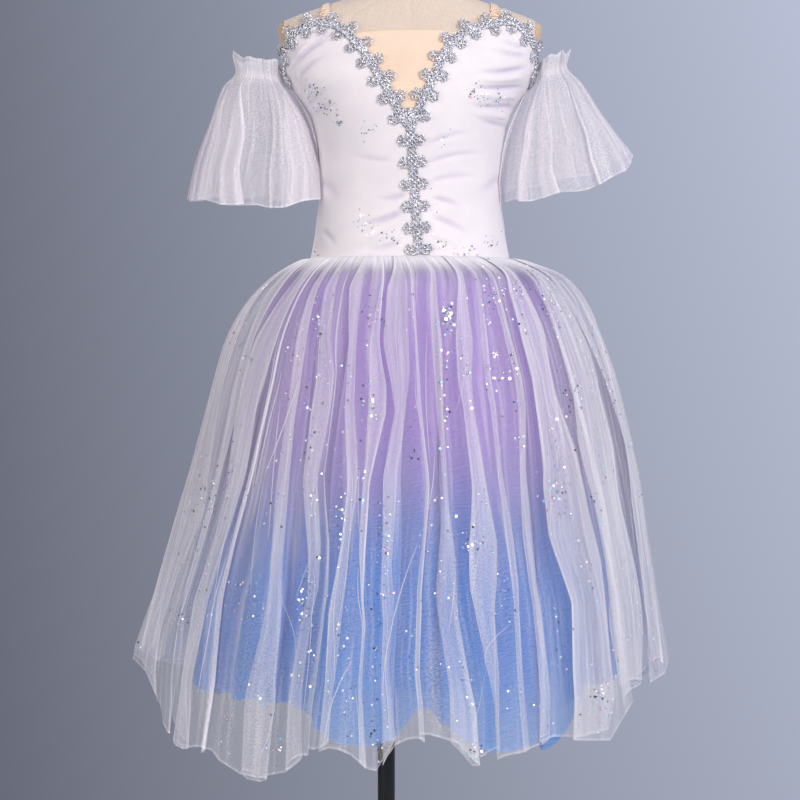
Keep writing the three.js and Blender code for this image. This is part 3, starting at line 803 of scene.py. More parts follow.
def sequin_finish():
    """Thin foil discs. The number of each disc picks its colour: the two dark greys are painted dark
    reflections, and the brightest colours also glow as painted glints.
    """
    made = Finish("sequin foil", Metallic=0.5, Roughness=0.2, Coat_Weight=0.6, Coat_Roughness=0.08)
    tint = made.attribute("tint")
    stops = (
        (0.0, "FFFFFF"),
        (0.16, "F8F2DE"),
        (0.24, "8FE3EE"),
        (0.3, "F1B3D6"),
        (0.35, "8FA8F4"),
        (0.4, "D9D7E2"),
        # Painted dark reflections: these greys stand for discs that catch no light.
        (0.56, "9A95A6"),
        (0.76, "54505F"),
    )
    foil = made.colours(tint, *stops)
    foil.node.color_ramp.interpolation = "CONSTANT"
    made.set("Base Color", foil)
    # Painted glints: discs with a tint up to about 0.38 also glow in their own colour.
    made.set("Emission Color", foil)
    made.set("Emission Strength", made.range(tint, 0.38, 0.41, 0.28, 0.0))
    return made.material


def floor_finish():
    made = Finish("floor", Roughness=0.8)
    soft = made.noise(made.place(), 6, 3)
    made.set("Base Color", made.colours(soft, (0.3, "C9CBD3"), (0.7, "D6D8DF")))
    return made.material


LINEN = linen_finish()
WOOD = wood_finish()
BLACK = black_finish()
# The third colour of each knit is the painted shade of its creases.
KNIT = knit_finish("bodice knit", "F8F2F3", "EFE8ED", "C9BCDC", 0.25)
NUDE = knit_finish("nude mesh", "FAE3CD", "F5D9BF", "E4BE9C", 0.15)
WHITE_NET = net_finish("white net", 0.15, "E2DFE8", "FBF9FB", 0.11, 1.7)
SLEEVE_NET = net_finish("sleeve net", 0.37, "E6E0E8", "FAF6FA", 0.15, 1.5)
OMBRE_NET = ombre_finish()
SILVER = metal_thread_finish()
FOIL = sequin_finish()


def finish_piece(piece, slot, *nodes):
    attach(piece, BODY)
    if nodes:
        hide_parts(*nodes)
    return piece


# The form and its stand.
SEAM_ANGLES = (-24, 0, 24, 156, 180, 204)  # the cover's upright seams
SEAM_HALF = 1.3
SEAM_DEEP = 0.8
SEAM_RADIUS = 60  # turns an angle from a seam into a distance


def make_torso():
    near = np.array([-1.6, -0.8, -0.35, 0, 0.35, 0.8, 1.6])
    close = (np.array(SEAM_ANGLES)[:, None] + near).ravel() % 360
    even = [a for a in np.arange(0, 360, 2.5) if np.min(np.abs((close - a + 180) % 360 - 180)) > 1]
    angles = np.sort(np.concatenate([close, even]))
    spans = ((600, 612, 2), (612, 1040, 4), (1040, 1141, 2))
    heights = np.concatenate([np.arange(*span) for span in spans])
    points = form_point(angles[None, :], heights[:, None])
    for seam in SEAM_ANGLES:
        away = np.radians((angles - seam + 180) % 360 - 180) * SEAM_RADIUS
        groove = SEAM_DEEP * np.exp(-((away / SEAM_HALF) ** 2))
        flat = points[..., :2]
        length = np.linalg.norm(flat, axis=-1, keepdims=True)
        points[..., :2] = flat * (1 - groove[None, :, None] / length)
    rows, cols = points.shape[:2]
    faces = grid_faces(rows, cols, True)
    faces.append(list(range(cols))[::-1])
    faces.append([(rows - 1) * cols + c for c in range(cols)])
    mesh = mesh_of("torso cover", points, faces)
    mesh.set_sharp_from_angle(angle=math.radians(50))
    return finish_piece(new_object("form_cover", mesh, LINEN), "linen", "form_torso")


def make_plate_seams():
    heap = Heap()
    heights = np.linspace(PLATE_LOW, PLATE_HIGH, 40)
    for side in (-1, 1):
        ring = []
        for sign, order in ((-1, heights), (1, heights[::-1])):
            for z in order:
                square = float(along(FORM, "square", "z", z))
                width = float(along(FORM, "side", "z", z))
                deep = float(along(FORM, "front" if sign < 0 else "back", "z", z))
                left = max(1 - (PLATE_AT / width) ** square, 0)
                ring.append((side * PLATE_AT, sign * deep * left ** (1 / square), z))
        heap.add(*tube(ring, 1.0, 6, closed=True), 0.5)
    return finish_piece(heap.object("form_plate_seams", LINEN), "linen")


def make_stand():
    z = high_of("form_cap")[2]
    foot = low_of("form_cap")[2]
    radius = high_of("form_cap")[0]
    round_edge = [(math.sin(a) * 7, math.cos(a) * 7) for a in np.radians(np.arange(90, -1, -15))]
    cap = [(radius - 1, foot), (radius, foot + 1), (radius, foot + 5), (radius - 2, foot + 7)]
    cap += [(radius - 2, foot + 9), (radius, foot + 11)]
    cap += [(radius - 7 + out, z - 7 + up) for out, up in round_edge]
    cap += [(radius - 12, z), (radius - 13, z - 0.8), (radius - 14, z), (6, z)]
    finish_piece(turned("neck_cap", cap, WOOD), "wood", "form_cap")

    low, high = low_of("form_socket")[2], high_of("form_socket")[2]
    size = (high_of("form_socket")[0] - low_of("form_socket")[0]) / 2
    socket = [(size - 2, low), (size, low + 2), (size, high - 2), (size - 2, high)]
    finish_piece(turned("form_socket_plate", socket, BLACK, POLE_X), "black_metal", "form_socket")

    low, high = low_of("stand_pole")[2], high_of("stand_pole")[2]
    slim = POLE_R - 0.5
    pole = [(POLE_R - 1, low), (POLE_R, low + 1), (POLE_R, POLE_JOINT), (slim, POLE_JOINT + 0.5)]
    pole += [(slim, POLE_JOINT + 2), (POLE_R, POLE_JOINT + 2.5), (POLE_R, high - 1)]
    pole.append((POLE_R - 1, high))
    finish_piece(turned("pole_tube", pole, BLACK, POLE_X), "black_metal", "stand_pole")

    low, high = low_of("stand_collar")[2], high_of("stand_collar")[2]
    wide = (high_of("stand_collar")[0] - low_of("stand_collar")[0]) / 2
    inside = POLE_R + 0.3
    collar = [(inside, low), (wide - 1, low), (wide, low + 1), (wide, low + 8.5), (wide - 1, low + 9.6)]
    collar += [(POLE_R + 5, high - 1.5), (POLE_R + 4, high), (inside, high), (inside, low)]
    finish_piece(turned("pole_collar", collar, BLACK, POLE_X), "black_metal", "stand_collar")

    high = high_of("stand_base")[2]
    base = [(BASE_R - 2, 0), (BASE_R, 1.5), (BASE_R, 5), (BASE_R - 0.6, 6.6), (BASE_R - 2, 7.6)]
    base += [(BASE_R - 4, high), (BASE_R - 12, high), (BASE_R - 12.6, high - 0.4)]
    base += [(BASE_R - 13.2, high), (20, high)]
    finish_piece(turned("base_plate", base, BLACK), "black_metal", "stand_base")


# The bodice.
CREASE_DEPTH = 1.5
CREASE_WIDTH = 0.8
PANEL_ROWS = 125  # times the panel's step in degrees
CHEST_R = 95  # turns an angle into the cloth's own coordinate


def crease_out(points):
    """How far the creases lift or sink each point of the bodice's front."""
    out = np.zeros(points.shape[:2])
    flat = points[..., [0, 2]]
    for x0, z0, x1, z1, wide, deep in zip(*CREASES.values()):
        start, end = np.array((x0, z0)), np.array((x1, z1))
        length = np.linalg.norm(end - start)
        ahead = (end - start) / length
        place = (flat - start) @ ahead
        away = (flat - start) @ np.array((-ahead[1], ahead[0]))
        bend = 0.05 * length * np.sin(np.pi * np.clip(place / length, 0, 1))
        fade = ramp(place, -3, length * 0.25) * (1 - ramp(place, length * 0.35, length + 4))
        out += CREASE_DEPTH * deep * fade * np.exp(-(((away - bend) / (CREASE_WIDTH * wide)) ** 2))
    return out


def bodice_panel(name, middle, top, node, fine):
    angles = np.concatenate([np.arange(-90, 90, fine), [90]])
    shares = np.linspace(0, 1, int(PANEL_ROWS / fine))
    height = WAIST_SEAM + (top(angles)[None, :] - WAIST_SEAM) * shares[:, None]
    turned_by = np.broadcast_to(middle + angles, height.shape)
    out = np.full(height.shape, BODICE_OUT)
    flat = over_form(turned_by, height, out)
    painted_crease_shade = np.zeros(height.shape)
    if middle == 0:
        drag = crease_out(flat)
        out = out + drag
        # Painted shade for the sunk creases, kept as the points' crease value that the knit reads.
        painted_crease_shade = np.clip(-drag * 0.2, 0, 0.6)
    else:
        side = np.abs(flat[..., 0])
        pucker = 0.7 * np.sin(height / 9 + side / 30)
        out = out + pucker * ramp(side, 60, 95) * (1 - ramp(height, 830, 900))
    points = over_form(turned_by, height, out)
    across = np.radians(turned_by) * CHEST_R
    mesh = sheet_mesh(name, points, False, across, height)
    point_values(mesh, "crease", painted_crease_shade)
    made = finish_piece(new_object(name, mesh, KNIT), "bodice_knit", node)
    wall = made.modifiers.new("wall", "SOLIDIFY")
    wall.thickness = CLOTH * MM
    wall.offset = -1
    return made


INSERT_TOP = 1034
INSERT_HOLLOW = 6
INSERT_SPAN = 22
INSERT_OUT = 2.0  # from the form
INSERT_UNDER = 5  # how far it goes under the bodice


def make_insert():
    angles = np.linspace(-INSERT_SPAN, INSERT_SPAN, 61)
    low = front_top(angles) - INSERT_UNDER
    high = np.maximum(INSERT_TOP - INSERT_HOLLOW * (angles / INSERT_SPAN) ** 2, low + 1)
    shares = np.linspace(0, 1, 60)
    height = low[None, :] + (high - low)[None, :] * shares[:, None]
    turned_by = np.broadcast_to(angles, height.shape)
    hem = 0.5 * (1 - ramp(high[None, :] - height, 4.5, 6))
    points = over_form(turned_by, height, INSERT_OUT + hem)
    mesh = sheet_mesh("insert", points, False, np.radians(turned_by) * 85, height)
    made = finish_piece(new_object("insert_mesh", mesh, NUDE), "nude_mesh", "neck_insert")
    wall = made.modifiers.new("wall", "SOLIDIFY")
    wall.thickness = 0.7 * MM
    wall.offset = -1
    return made


STRAP_FRONT = (1050.5, 55)  # height, and how far before the middle the strap leaves the bodice
STRAP_BACK = (993.5, 72)
STRAP_INSIDE = 1010  # height inside the shoulder that the strap turns round
STRAP_STEPS = 90
SLIDER_AT = 0.06  # share of the strap's way where its slider sits
SLIDER_HALF = (5.4, 3.2)  # half size across and along the strap
SLIDER_POINTS = 28


def make_strap(side, form_tree):
    first = math.atan2(STRAP_FRONT[0] - STRAP_INSIDE, STRAP_FRONT[1])
    last = math.pi - math.atan2(STRAP_BACK[0] - STRAP_INSIDE, STRAP_BACK[1])
    profile = [(-0.5, 0.25), (-0.44, 0.62), (0, 0.7), (0.44, 0.62), (0.5, 0.25)]
    profile += [(0.44, -0.2), (-0.44, -0.2)]
    rows, middle = [], []
    for n in range(STRAP_STEPS + 1):
        lean = first + (last - first) * n / STRAP_STEPS
        direction = Vector((0, -math.cos(lean), math.sin(lean)))
        row = []
        for wide, out in profile:
            start = Vector((side * STRAP_AT + wide * STRAP_WIDE, 0, STRAP_INSIDE))
            hit = form_tree.ray_cast(start, direction)[0]
            row.append(hit + direction * (STRAP_OUT + out))
        rows.append(row)
        middle.append(row[2] + direction * 0.8)
    points = np.array(rows)
    cols = len(profile)
    faces = grid_faces(STRAP_STEPS + 1, cols, True)
    faces.append(list(range(cols))[::-1])
    faces.append([STRAP_STEPS * cols + c for c in range(cols)])
    name = "strap_band_left" if side < 0 else "strap_band_right"
    mesh = mesh_of(name, points, faces)
    mesh.set_sharp_from_angle(angle=math.radians(60))
    node = "strap_left" if side < 0 else "strap_right"
    finish_piece(new_object(name, mesh, NUDE), "nude_mesh", node)
    slider = Heap()
    for place, narrow in ((SLIDER_AT, 1.0), (SLIDER_AT + 0.05, 0.86)):
        n = int(place * STRAP_STEPS)
        centre, ahead = middle[n], (middle[n + 1] - middle[n]).normalized()
        across = Vector((1, 0, 0))
        loop = []
        for k in range(SLIDER_POINTS):
            turn = 2 * math.pi * k / SLIDER_POINTS
            sideways = across * math.cos(turn) * SLIDER_HALF[0] * narrow
            onward = ahead * math.sin(turn) * SLIDER_HALF[1] * narrow
            loop.append(centre + (sideways + onward))
        slider.add(*tube(loop, 0.75, 8, closed=True), 0.9)
    finish_piece(slider.object(name.replace("band", "slider"), NUDE), "nude_mesh")


# The trim: a flat braid of wavy cords, with a clover of five thread loops at both sides.
CORDS = (-3.5, -1.2, 1.2, 3.5)
CORD_R = 1.0
CORD_SWAY = 0.75
CORD_LAY = 5.2  # way of one wave of a cord
CORD_LIFT = 0.9  # from the bodice to the middle of the cords
RIBBON = ((-4.6, 0), (-4.6, 0.5), (4.6, 0.5), (4.6, 0))  # the backing's section
CLOVER_AT = 8.6
LOOP_RING = 2.2
LOOP_R = 0.8
LOOP_POINTS = 13
CLOVER_TURNS = (-120, -62, 0, 62, 120)  # the loops' directions from straight away, in degrees
CLOVER_REACH = 3.7  # from the knot to a loop's middle
CLOVER_TIP = 3.9  # the same for the outermost loop
TRIM_STEP = 0.9  # between two points of a cord


def path_frames(points, outer):
    """Places spaced evenly along a path on the bodice, with their directions. outer is the same
    path a step further out."""
    gaps = np.linalg.norm(np.diff(points, axis=0), axis=1)
    place = np.concatenate([[0], np.cumsum(gaps)])
    length = place[-1]

    def on(line, distance):
        return np.array([np.interp(distance, place, line[:, k]) for k in range(3)])

    def at(distance):
        middle = on(points, distance)
        ahead = on(points, distance + 1.5) - on(points, distance - 1.5)
        ahead /= np.linalg.norm(ahead)
        outward = on(outer, distance) - middle
        outward -= ahead * (outward @ ahead)
        outward /= np.linalg.norm(outward)
        return middle, ahead, outward, np.cross(outward, ahead)

    return length, at


def clover(heap, centre, ahead, outward, away, draw):
    """Five loops of thread round a knot. away points from the braid."""
    for turn in CLOVER_TURNS:
        lean = math.radians(turn + draw.uniform(-8, 8))
        reach = CLOVER_TIP if turn == 0 else CLOVER_REACH
        middle = centre + (away * math.cos(lean) + ahead * math.sin(lean)) * reach
        middle = middle + outward * draw.uniform(-0.3, 0.6)
        out = away * math.cos(lean) + ahead * math.sin(lean)
        side = np.cross(outward, out)
        ring = []
        for k in range(LOOP_POINTS):
            a = 2 * math.pi * k / LOOP_POINTS
            lift = 0.5 * math.sin(a * 2 + lean)
            ring.append(
                middle
                + out * math.cos(a) * LOOP_RING * 1.12
                + side * math.sin(a) * LOOP_RING * 0.92
                + outward * lift
            )
        heap.add(*tube(ring, LOOP_R, 5, closed=True), draw.random())
    knot = [centre + out for out in (-ahead * 1.6, outward * 0.8, ahead * 1.6)]
    heap.add(*tube(knot, 1.1, 6), draw.random())


def make_trim(name, path, node, shift, seed, first=0.5):
    draw = random.Random(seed)
    length, at = path_frames(*path)
    heap = Heap()
    places = np.arange(0, length, TRIM_STEP)
    frames_here = [at(d) for d in places]
    for n, offset in enumerate(CORDS):
        line = []
        for d, (middle, _, outward, across) in zip(places, frames_here):
            swing = 2 * math.pi * d / CORD_LAY + n * math.pi
            sway = across * (offset + CORD_SWAY * math.sin(swing))
            line.append(middle + sway + outward * (CORD_LIFT + 0.55 * math.cos(swing)))
        heap.add(*tube(line, CORD_R, 6), 0.35 + 0.2 * (n % 2))
    ribbon = []
    for middle, _, outward, across in frames_here:
        ribbon += [middle + across * w + outward * h for w, h in RIBBON]
    faces = grid_faces(len(places), 4, True)
    faces += [[3, 2, 1, 0], [4 * (len(places) - 1) + c for c in range(4)]]
    heap.add(ribbon, faces, 0.2)
    for n in range(int(length / PERIOD + 1)):
        for side in (-1, 1):
            d = (n + first) * PERIOD + side * shift
            if d > length - 1:
                continue
            middle, ahead, outward, across = at(d)
            centre = middle + across * side * CLOVER_AT + outward * CORD_LIFT
            clover(heap, centre, ahead, outward, across * side, draw)
    return finish_piece(heap.object(name, SILVER), "silver_trim", node)


def arm_path(side):
    angles = np.linspace(0.4, 85, 220) * side
    flat = np.full(len(angles), TRIM_OUT)
    return [over_form(angles, front_top(angles), flat + step) for step in (0, 1)]


CENTRE_TRIM = {"high": 930, "low": 790, "lean": 4}


def centre_path():
    share = np.linspace(0, 1, 80)
    heights = CENTRE_TRIM["high"] + (CENTRE_TRIM["low"] - CENTRE_TRIM["high"]) * share
    flat = np.full(len(share), TRIM_OUT)
    return [over_form(CENTRE_TRIM["lean"] * share, heights, flat + step) for step in (0, 1)]


# Runs of the skirts' cloth over which their light band, strips, gathers and veil come or go.
BAND_FADE = (16, 64)
STRIP_RISE = (14, 60)
GATHER_FADE = (20, 150)
VEIL_RISE = (60, 160)
VEIL_FADE = (300, 480)

# Gathered cloth. The cloth turns back at the right edge of each strip, turns again at its left edge,
# and goes on, so it lies three deep between them. Its level rises or sinks on the way.
TURNS = np.array([0, 0.3, 0.6, 0.83, 1])  # places before the first turn, in shares
BETWEEN = np.array([0.12, 0.35, 0.65, 0.88])  # places between the turns
HEM_LIGHT = 0.22  # more cover along a hem
STRIP_APART = 2.6  # degrees between the middles of two strips
PER_WALL = 2 * len(TURNS) + len(BETWEEN) - 1
EDGE_LIGHT = (0, 0, 0, 0.45, 1, 0.4, 0, 0, 0.4, 1, 0.45, 0, 0)


def turn_tables():
    """How far the cloth has to swing for a strip's width, and where it turns. All are in shares of
    the wall's span."""
    swing = np.linspace(0.1592, 4, 400)
    turn = np.arccos(-1 / (2 * np.pi * swing)) / (2 * np.pi)
    width = 2 * (turn + swing * np.sin(2 * np.pi * turn) - 0.5)
    return np.concatenate([[-1], width]), np.concatenate([[0], swing]), np.concatenate([[0.5], turn])


STRIP_WIDTH, STRIP_SWING, STRIP_TURN = turn_tables()


def kinked(seed, shares, size, knots=9):
    """A drift along a fold that changes direction at a few places, as creased net does."""
    draw = random.Random(seed)
    values = [draw.uniform(-size, size) for _ in range(knots)]
    return np.interp(shares, np.linspace(0, 1, knots), values) * ramp(shares, 0, 0.15)


def periodic(rows, at):
    """A table of heights by angle, all the way round."""
    angle = np.concatenate([rows["angle"] - 360, rows["angle"], rows["angle"] + 360])
    return np.interp(at, angle, np.tile(rows["z"], 3))


def pixel_place(profile, px, py):
    """The angle and the run of a skirt's cloth that shows at a pixel, and its height."""
    angle, run = 0.0, 300.0
    for _ in range(12):
        y = -float(along(profile, "front", "run", run)) * math.cos(math.radians(angle))
        near = PIXEL * (CAMERA_FAR + y) / CAMERA_FAR
        z = LOOK_Z + (HALF_FRAME - py) * near
        run = float(np.interp(WAIST_SEAM - z, profile["drop"], profile["run"]))
        reach = LOOK_X + (px - HALF_FRAME) * near - float(along(profile, "lean", "run", run))
        sine = reach / float(along(profile, "side", "run", run))
        angle = math.degrees(math.asin(max(-0.99, min(0.99, sine))))
    return angle, run, z


def hem_table(profile, pixels, sides, lift):
    """The hem's height by angle: from the photo on the front, and from the table for the rest."""
    places = [pixel_place(profile, px, py) for px, py in zip(pixels["px"], pixels["py"])]
    angles = [p[0] for p in places]
    heights = [p[2] for p in places]
    first, last = angles[0], angles[-1]
    rest = (sides["angle"] > last + 6) & (sides["angle"] < first + 354)
    rough = {
        "angle": np.concatenate([angles, sides["angle"][rest]]),
        "z": np.concatenate([heights, sides["z"][rest] + lift]),
    }
    even = np.arange(first, first + 360, 0.75)
    z = periodic(rough, even)
    for _ in range(3):
        z = (np.roll(z, 1) + 2 * z + np.roll(z, -1)) / 4
    return {"angle": even, "z": z}


def in_order(middle, least):
    """Keeps the strips of a row apart, from the middle to both sides."""
    half = len(middle) // 2
    for i in range(half + 1, len(middle)):
        middle[i] = np.maximum(middle[i], middle[i - 1] + least)
    for i in range(half - 1, -1, -1):
        middle[i] = np.minimum(middle[i], middle[i + 1] - least)
    return middle


def photo_strips(profile, hem, strips, shares):
    """The middle and width in degrees of each strip, from its edges in the photo."""
    middles, widths = [], []
    for n in range(len(strips["level"])):
        ways, middle, wide = [], [], []
        for k, row in enumerate(TRACK_ROWS):
            left, run, _ = pixel_place(profile, strips[f"l{k}"][n], row)
            right, _, _ = pixel_place(profile, strips[f"r{k}"][n], row)
            drop = WAIST_SEAM - float(periodic(hem, (left + right) / 2))
            ways.append(run / float(np.interp(drop, profile["drop"], profile["run"])))
            middle.append((left + right) / 2)
            wide.append(max(right - left, 0.8))
        ways, middle, wide = [0] + ways, [middle[0]] + middle, [wide[0] * 0.25] + wide
        middles.append(np.interp(shares, ways, middle) + kinked(n, shares, 0.9))
        widths.append(np.interp(shares, ways, wide) * (1 + kinked(50 + n, shares, 0.4)))
    return in_order(np.array(middles), STRIP_APART), np.array(widths)


def folded_row(middle, wide, whole):
    """One row of folded cloth: the place along the wall and along the row for each column. middle
    and wide are the strips, and whole is the row's length round the piece, all in the same unit."""
    left = middle - wide / 2
    end = (middle + wide / 2 + np.append(left[1:], left[0] + whole)) / 2
    start = np.concatenate([[end[-1] - whole], end[:-1]])
    span = end - start
    swing = np.interp(wide / span, STRIP_WIDTH, STRIP_SWING)
    turn = np.minimum(np.interp(wide / span, STRIP_WIDTH, STRIP_TURN), 0.42)[:, None]
    ways = np.concatenate(
        [TURNS * turn, turn + BETWEEN * (1 - 2 * turn), 1 - turn, 1 - TURNS[-2:0:-1] * turn], axis=1
    )
    bend = np.clip(2 * middle - (start + end) / 2, start, end)
    start, end, bend = start[:, None], end[:, None], bend[:, None]
    base = (1 - ways) ** 2 * start + 2 * ways * (1 - ways) * bend + ways**2 * end
    place = base + span[:, None] * swing[:, None] * np.sin(2 * np.pi * ways)
    return ways.ravel(), place.ravel()


def cloth_mesh(name, points, runs, cover, shares):
    """The mesh of a closed sheet from its rows, with its own coordinates, cover and way down."""
    middle = points[len(points) // 2]
    steps = np.linalg.norm(np.roll(middle, -1, axis=0) - middle, axis=1)
    place = np.concatenate([[0], np.cumsum(steps)])
    across = np.broadcast_to(place, (len(points), len(place)))
    down = np.concatenate([runs, runs[:, :1]], axis=1)
    mesh = sheet_mesh(name, points[::-1], True, across, down[::-1])
    point_values(mesh, "cover", cover[::-1])
    point_values(mesh, "down", np.broadcast_to(shares[:, None], cover.shape)[::-1])
    return mesh


def skirt_sheet(name, profile, hem, middles, widths, levels, shares, ragged, band, strip_light, veil):
    """The cloth of one skirt, and the grid of its points from the waist down."""
    count = len(levels)
    cols = np.arange(count * PER_WALL)
    wall = cols // PER_WALL
    light = np.tile(EDGE_LIGHT, count)
    before = np.concatenate([levels[-1:], levels[:-1]])
    draw = random.Random(900)
    phase = np.array([draw.random() for _ in range(count)])[wall]
    bright = np.array([draw.choice((0.35, 0.7, 1.1, 1.7)) for _ in range(count)])[wall]
    points = np.empty((len(shares), len(cols), 3))
    cover = np.empty(points.shape[:2])
    runs = np.empty(points.shape[:2])
    full = None
    for r in reversed(range(len(shares))):
        ways, angle = folded_row(middles[:, r], widths[:, r], 360)
        if full is None:
            edge = ragged * np.sin(2 * np.pi * (ways + phase)) * np.sin(np.pi * ways)
            drop = WAIST_SEAM - periodic(hem, angle) + edge
            full = np.interp(drop, profile["drop"], profile["run"])
        run = full * shares[r]
        value = {key: along(profile, key, "run", run) for key in profile if key != "run"}
        rise = (1 - np.cos(np.pi * ways)) / 2
        level = before[wall] + (levels - before)[wall] * rise
        fine = np.sin(2 * np.pi * (2.6 * ways + phase)) * np.sin(np.pi * ways)
        swell = 0.3 * np.sin(2 * np.pi * (1.3 * shares[r] + phase))
        out = value["fold"] * (level + swell * np.sin(np.pi * ways)) + value["fine"] * fine
        turn = np.radians(angle)
        reach = 2 / value["square"]
        deep = np.where(np.cos(turn) > 0, value["front"], value["back"]) + out
        points[r, :, 0] = value["lean"] + (value["side"] + out) * power(np.sin(turn), reach)
        points[r, :, 1] = -deep * power(np.cos(turn), reach)
        points[r, :, 2] = WAIST_SEAM - value["drop"] - 0.3
        near_waist = 1 - ramp(run, *BAND_FADE)
        gathers = 0.5 + 0.5 * np.cos(2 * np.pi * (4 * ways + 3 * phase))
        swells = 1 + 0.45 * np.sin(2 * np.pi * (1.7 * shares[r] + 2.3 * phase))
        # More cover at the fold turns: denser net on the white net, painted highlight on the ombre.
        cover[r] = light * bright * swells * strip_light * ramp(run, *STRIP_RISE)
        cover[r] += band * near_waist + 0.3 * bright * gathers**4 * (1 - ramp(run, *GATHER_FADE))
        sideways = np.where(np.cos(turn) < 0, 1 - 0.6 * np.cos(turn) ** 2, np.sin(turn) ** 2)
        cover[r] += veil * sideways * ramp(run, *VEIL_RISE) * (1 - 0.6 * ramp(run, *VEIL_FADE))
        runs[r] = run
    cover[-2:] += HEM_LIGHT
    return cloth_mesh(name, points, runs, cover, shares), points


def rest_of_strips(front_middle, front_wide, count, shares, seed, widest):
    """Strips round the sides and back, with the same unevenness as the ones that are seen."""
    draw = random.Random(seed)
    first, last = front_middle[-1], front_middle[0] + 360
    start, end = first.mean(), last.mean()
    middles, widths, levels = [], [], []
    for n in range(count):
        share = (n + 1 + draw.uniform(-0.25, 0.25)) / (count + 1)
        straight = start + (end - start) * share + kinked(seed + n, shares, 1.5)
        middles.append(straight + (first - start) * (1 - share) ** 5 + (last - end) * share**5)
        wide = draw.choice((1.2, 2.2, 3.5, 5, widest))
        widths.append(wide * ramp(shares, -0.05, 0.45) * (1 + kinked(seed + 40 + n, shares, 0.2)))
        levels.append(draw.uniform(0.3, 1.0) if n % 2 else draw.uniform(-0.85, 0))
    middles = in_order(np.concatenate([front_middle, middles]), STRIP_APART)
    return middles, np.concatenate([front_wide, widths]), levels


def make_glitter_skirt():
    shares = np.concatenate([np.linspace(0, 0.1, 9)[:-1], np.linspace(0.1, 0.994, 56), [0.9975, 1]])
    hem = hem_table(GLITTER, HEM_PIXELS, GLITTER_HEM, -12)
    middle, wide = photo_strips(GLITTER, hem, STRIPS, shares)
    middle, wide, levels = rest_of_strips(middle, wide, BACK_STRIPS, shares, 500, 7)
    levels = np.concatenate([STRIPS["level"], levels])
    mesh, grid = skirt_sheet(
        "glitter net", GLITTER, hem, middle, wide, levels, shares,
        ragged=5, band=0.8, strip_light=0.36, veil=0.26,
    )
    made = finish_piece(new_object("skirt_glitter_net", mesh, WHITE_NET), "white_net", "skirt_glitter")
    return made, grid


def make_ombre_skirt():
    shares = np.concatenate([np.linspace(0, 0.1, 8)[:-1], np.linspace(0.1, 0.994, 50), [0.9975, 1]])
    hem = hem_table(OMBRE, OMBRE_HEM_PIXELS, OMBRE_HEM, 12)
    angle = np.concatenate([OMBRE_STRIPS["angle"], OMBRE_STRIPS["angle"] + 180])
    wide = np.tile(OMBRE_STRIPS["wide"], 2)
    middle = np.array([a + kinked(300 + n, shares, 0.8) for n, a in enumerate(angle)])
    wide = np.array([w * ramp(shares, -0.05, 0.5) for w in wide])
    mesh, _ = skirt_sheet(
        "ombre net", OMBRE, hem, middle, wide, np.tile(OMBRE_STRIPS["level"], 2), shares,
        ragged=3, band=0.6, strip_light=0.5, veil=0,
    )
    return finish_piece(new_object("skirt_ombre_net", mesh, OMBRE_NET), "ombre_net", "skirt_ombre")


CREASE_POINTS = 14
CREASE_STEP = 16  # a crease that jumps further than this between two points crosses a fold


def make_creases(name, grid, material, seed, count, longest):
    """Pinched creases in the net: narrow ridges that lie on the cloth and run out at both ends."""
    draw = random.Random(seed)
    rows, cols = grid.shape[:2]
    heap = Heap()
    for _ in range(count):
        top = draw.uniform(0.12, 0.85)
        bottom = min(top + draw.uniform(0.06, longest), 0.985)
        column = draw.uniform(0, cols)
        slant = draw.gauss(0, 2)
        bend = draw.gauss(0, 0.4)
        wide = draw.uniform(0.35, 0.8)
        line = []
        for k in range(CREASE_POINTS):
            t = k / (CREASE_POINTS - 1)
            r = (top + (bottom - top) * t) * (rows - 1)
            c = (column + slant * t + bend * math.sin(math.pi * t)) % cols
            r0, c0 = int(r), int(c)
            c1 = (c0 + 1) % cols
            r1 = min(r0 + 1, rows - 1)
            upper = grid[r0, c0] * (1 - c % 1) + grid[r0, c1] * (c % 1)
            lower = grid[r1, c0] * (1 - c % 1) + grid[r1, c1] * (c % 1)
            line.append(upper * (1 - r % 1) + lower * (r % 1))
        line = np.array(line)
        if np.max(np.linalg.norm(np.diff(line, axis=0), axis=1)) > CREASE_STEP:
            continue
        taper = np.sin(np.pi * (np.arange(CREASE_POINTS) + 0.5) / CREASE_POINTS) ** 0.6
        heap.add(*tube(line, wide * taper, 4), 0.5)
    made = heap.object(name, material)
    point_values(made.data, "cover", np.full(len(made.data.vertices), 0.36))
    return finish_piece(made, "white_net")


SLEEVE_STRIPS = 11
SLEEVE_LENGTH = 160
ELASTIC_AT = 0.12  # share of the sleeve's way


